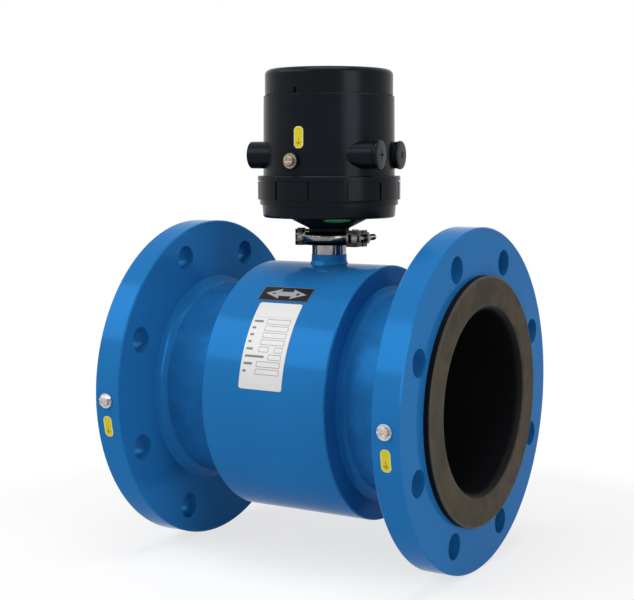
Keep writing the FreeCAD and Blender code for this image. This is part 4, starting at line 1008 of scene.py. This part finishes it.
def studio_world():
    """A white backdrop to the eye, in mirrors and through glass, and a plain pale fill on the object."""
    world = bpy.data.worlds.new("Studio")
    bpy.context.scene.world = world
    world.use_nodes = True
    tree = world.node_tree
    tree.nodes.clear()
    path = tree.nodes.new("ShaderNodeLightPath")
    seen = path.outputs["Is Camera Ray"]
    for name in ("Is Glossy Ray", "Is Transmission Ray"):
        either = tree.nodes.new("ShaderNodeMath")
        either.operation = "MAXIMUM"
        tree.links.new(seen, either.inputs[0])
        tree.links.new(path.outputs[name], either.inputs[1])
        seen = either.outputs[0]
    mix = tree.nodes.new("ShaderNodeMixShader")
    tree.links.new(seen, mix.inputs[0])
    for strength, socket in ((FILL_LEVEL, mix.inputs[1]), (1.0, mix.inputs[2])):
        light = tree.nodes.new("ShaderNodeBackground")
        light.inputs["Color"].default_value = (1, 1, 1, 1)
        light.inputs["Strength"].default_value = strength
        tree.links.new(light.outputs[0], socket)
    out = tree.nodes.new("ShaderNodeOutputWorld")
    tree.links.new(mix.outputs[0], out.inputs["Surface"])


def pale_floor():
    """A plain pale floor that keeps the object's shadow and fades to white away from it."""
    floor = added("plane", size=8.0, location=(0, 0, FLOOR_LEVEL - 0.2 * MM))
    floor.name = "floor"
    finish = Finish("pale_floor")
    along, across, up = finish.axes()
    away = (along * along + across * across).maths("SQRT").ramp(0.16, 0.42).most(0.72)
    path = finish.add("ShaderNodeLightPath", output="Is Camera Ray")
    for name in ("Is Glossy Ray", "Is Transmission Ray"):
        path = path.most(finish.add("ShaderNodeLightPath", output=name))
    pale = finish.add("ShaderNodeBsdfDiffuse", None, {"Color": (0.86, 0.86, 0.86)})
    white = finish.add("ShaderNodeEmission", None, {"Color": (1.0, 1.0, 1.0), "Strength": 1.0})
    mixed = finish.add("ShaderNodeMixShader", None, {0: away * path, 1: pale, 2: white})
    finish.add("ShaderNodeOutputMaterial", None, {"Surface": mixed})
    floor.data.materials.append(finish.material)


class FLOWMETER_OT_studio(bpy.types.Operator):
    """Set up the floor, the soft lamps, the backdrop and the camera"""

    bl_idname = "flowmeter.studio"
    bl_label = "Studio"

    def execute(self, context):
        pale_floor()
        studio_world()
        soft_lamp("left_box", (-1.15, -1.25, 1.25), (0, 0, 0), 2.2, 1.05, 22)
        soft_lamp("top_box", (0.1, -0.3, 1.7), (0, 0, 0), 1.2, 0.9, 17)
        soft_lamp("right_box", (1.9, -0.7, 0.6), (0, 0, 0.05), 1.0, 1.1, 14)
        lens = bpy.data.cameras.new("camera")
        lens.sensor_width = 36
        lens.lens = CAMERA_LENS
        lens.shift_x, lens.shift_y = CAMERA_SHIFT
        lens.clip_end = 50
        camera = bpy.data.objects.new("camera", lens)
        context.scene.collection.objects.link(camera)
        camera.location = CAMERA_PLACE
        camera.rotation_euler = (math.pi / 2 + CAMERA_PITCH, 0, CAMERA_YAW)
        context.scene.camera = camera
        context.scene.view_settings.view_transform = "Standard"
        return {"FINISHED"}


OPERATORS = [
    FLOWMETER_OT_finishes,
    FLOWMETER_OT_welds,
    FLOWMETER_OT_earth_screws,
    FLOWMETER_OT_converter,
    FLOWMETER_OT_plugs,
    FLOWMETER_OT_clamp,
    FLOWMETER_OT_studio,
]


class VIEW3D_PT_flow_meter(bpy.types.Panel):
    """Everything that dresses the flow meter"""

    bl_label = "Flow meter"
    bl_space_type = "VIEW_3D"
    bl_region_type = "UI"
    bl_category = "Flow meter"

    def draw(self, context):
        for group in (context.scene.flow_meter_sizes, context.scene.flow_meter_colours):
            column = self.layout.column()
            for name in group.__annotations__:
                column.prop(group, name)
        for operator in OPERATORS:
            self.layout.operator(operator.bl_idname)


CLASSES = [FlowMeterSizes, FlowMeterColours, *OPERATORS, VIEW3D_PT_flow_meter]


def register():
    for item in CLASSES:
        bpy.utils.register_class(item)
    bpy.types.Scene.flow_meter_sizes = bpy.props.PointerProperty(type=FlowMeterSizes)
    bpy.types.Scene.flow_meter_colours = bpy.props.PointerProperty(type=FlowMeterColours)


def unregister():
    del bpy.types.Scene.flow_meter_colours
    del bpy.types.Scene.flow_meter_sizes
    for item in reversed(CLASSES):
        bpy.utils.unregister_class(item)


def main():
    register()
    bpy.ops.flowmeter.finishes()
    bpy.ops.flowmeter.welds()
    bpy.ops.flowmeter.earth_screws()
    bpy.ops.flowmeter.converter()
    bpy.ops.flowmeter.plugs()
    bpy.ops.flowmeter.clamp()
    bpy.ops.flowmeter.studio()


if __name__ == "__main__":
    main()
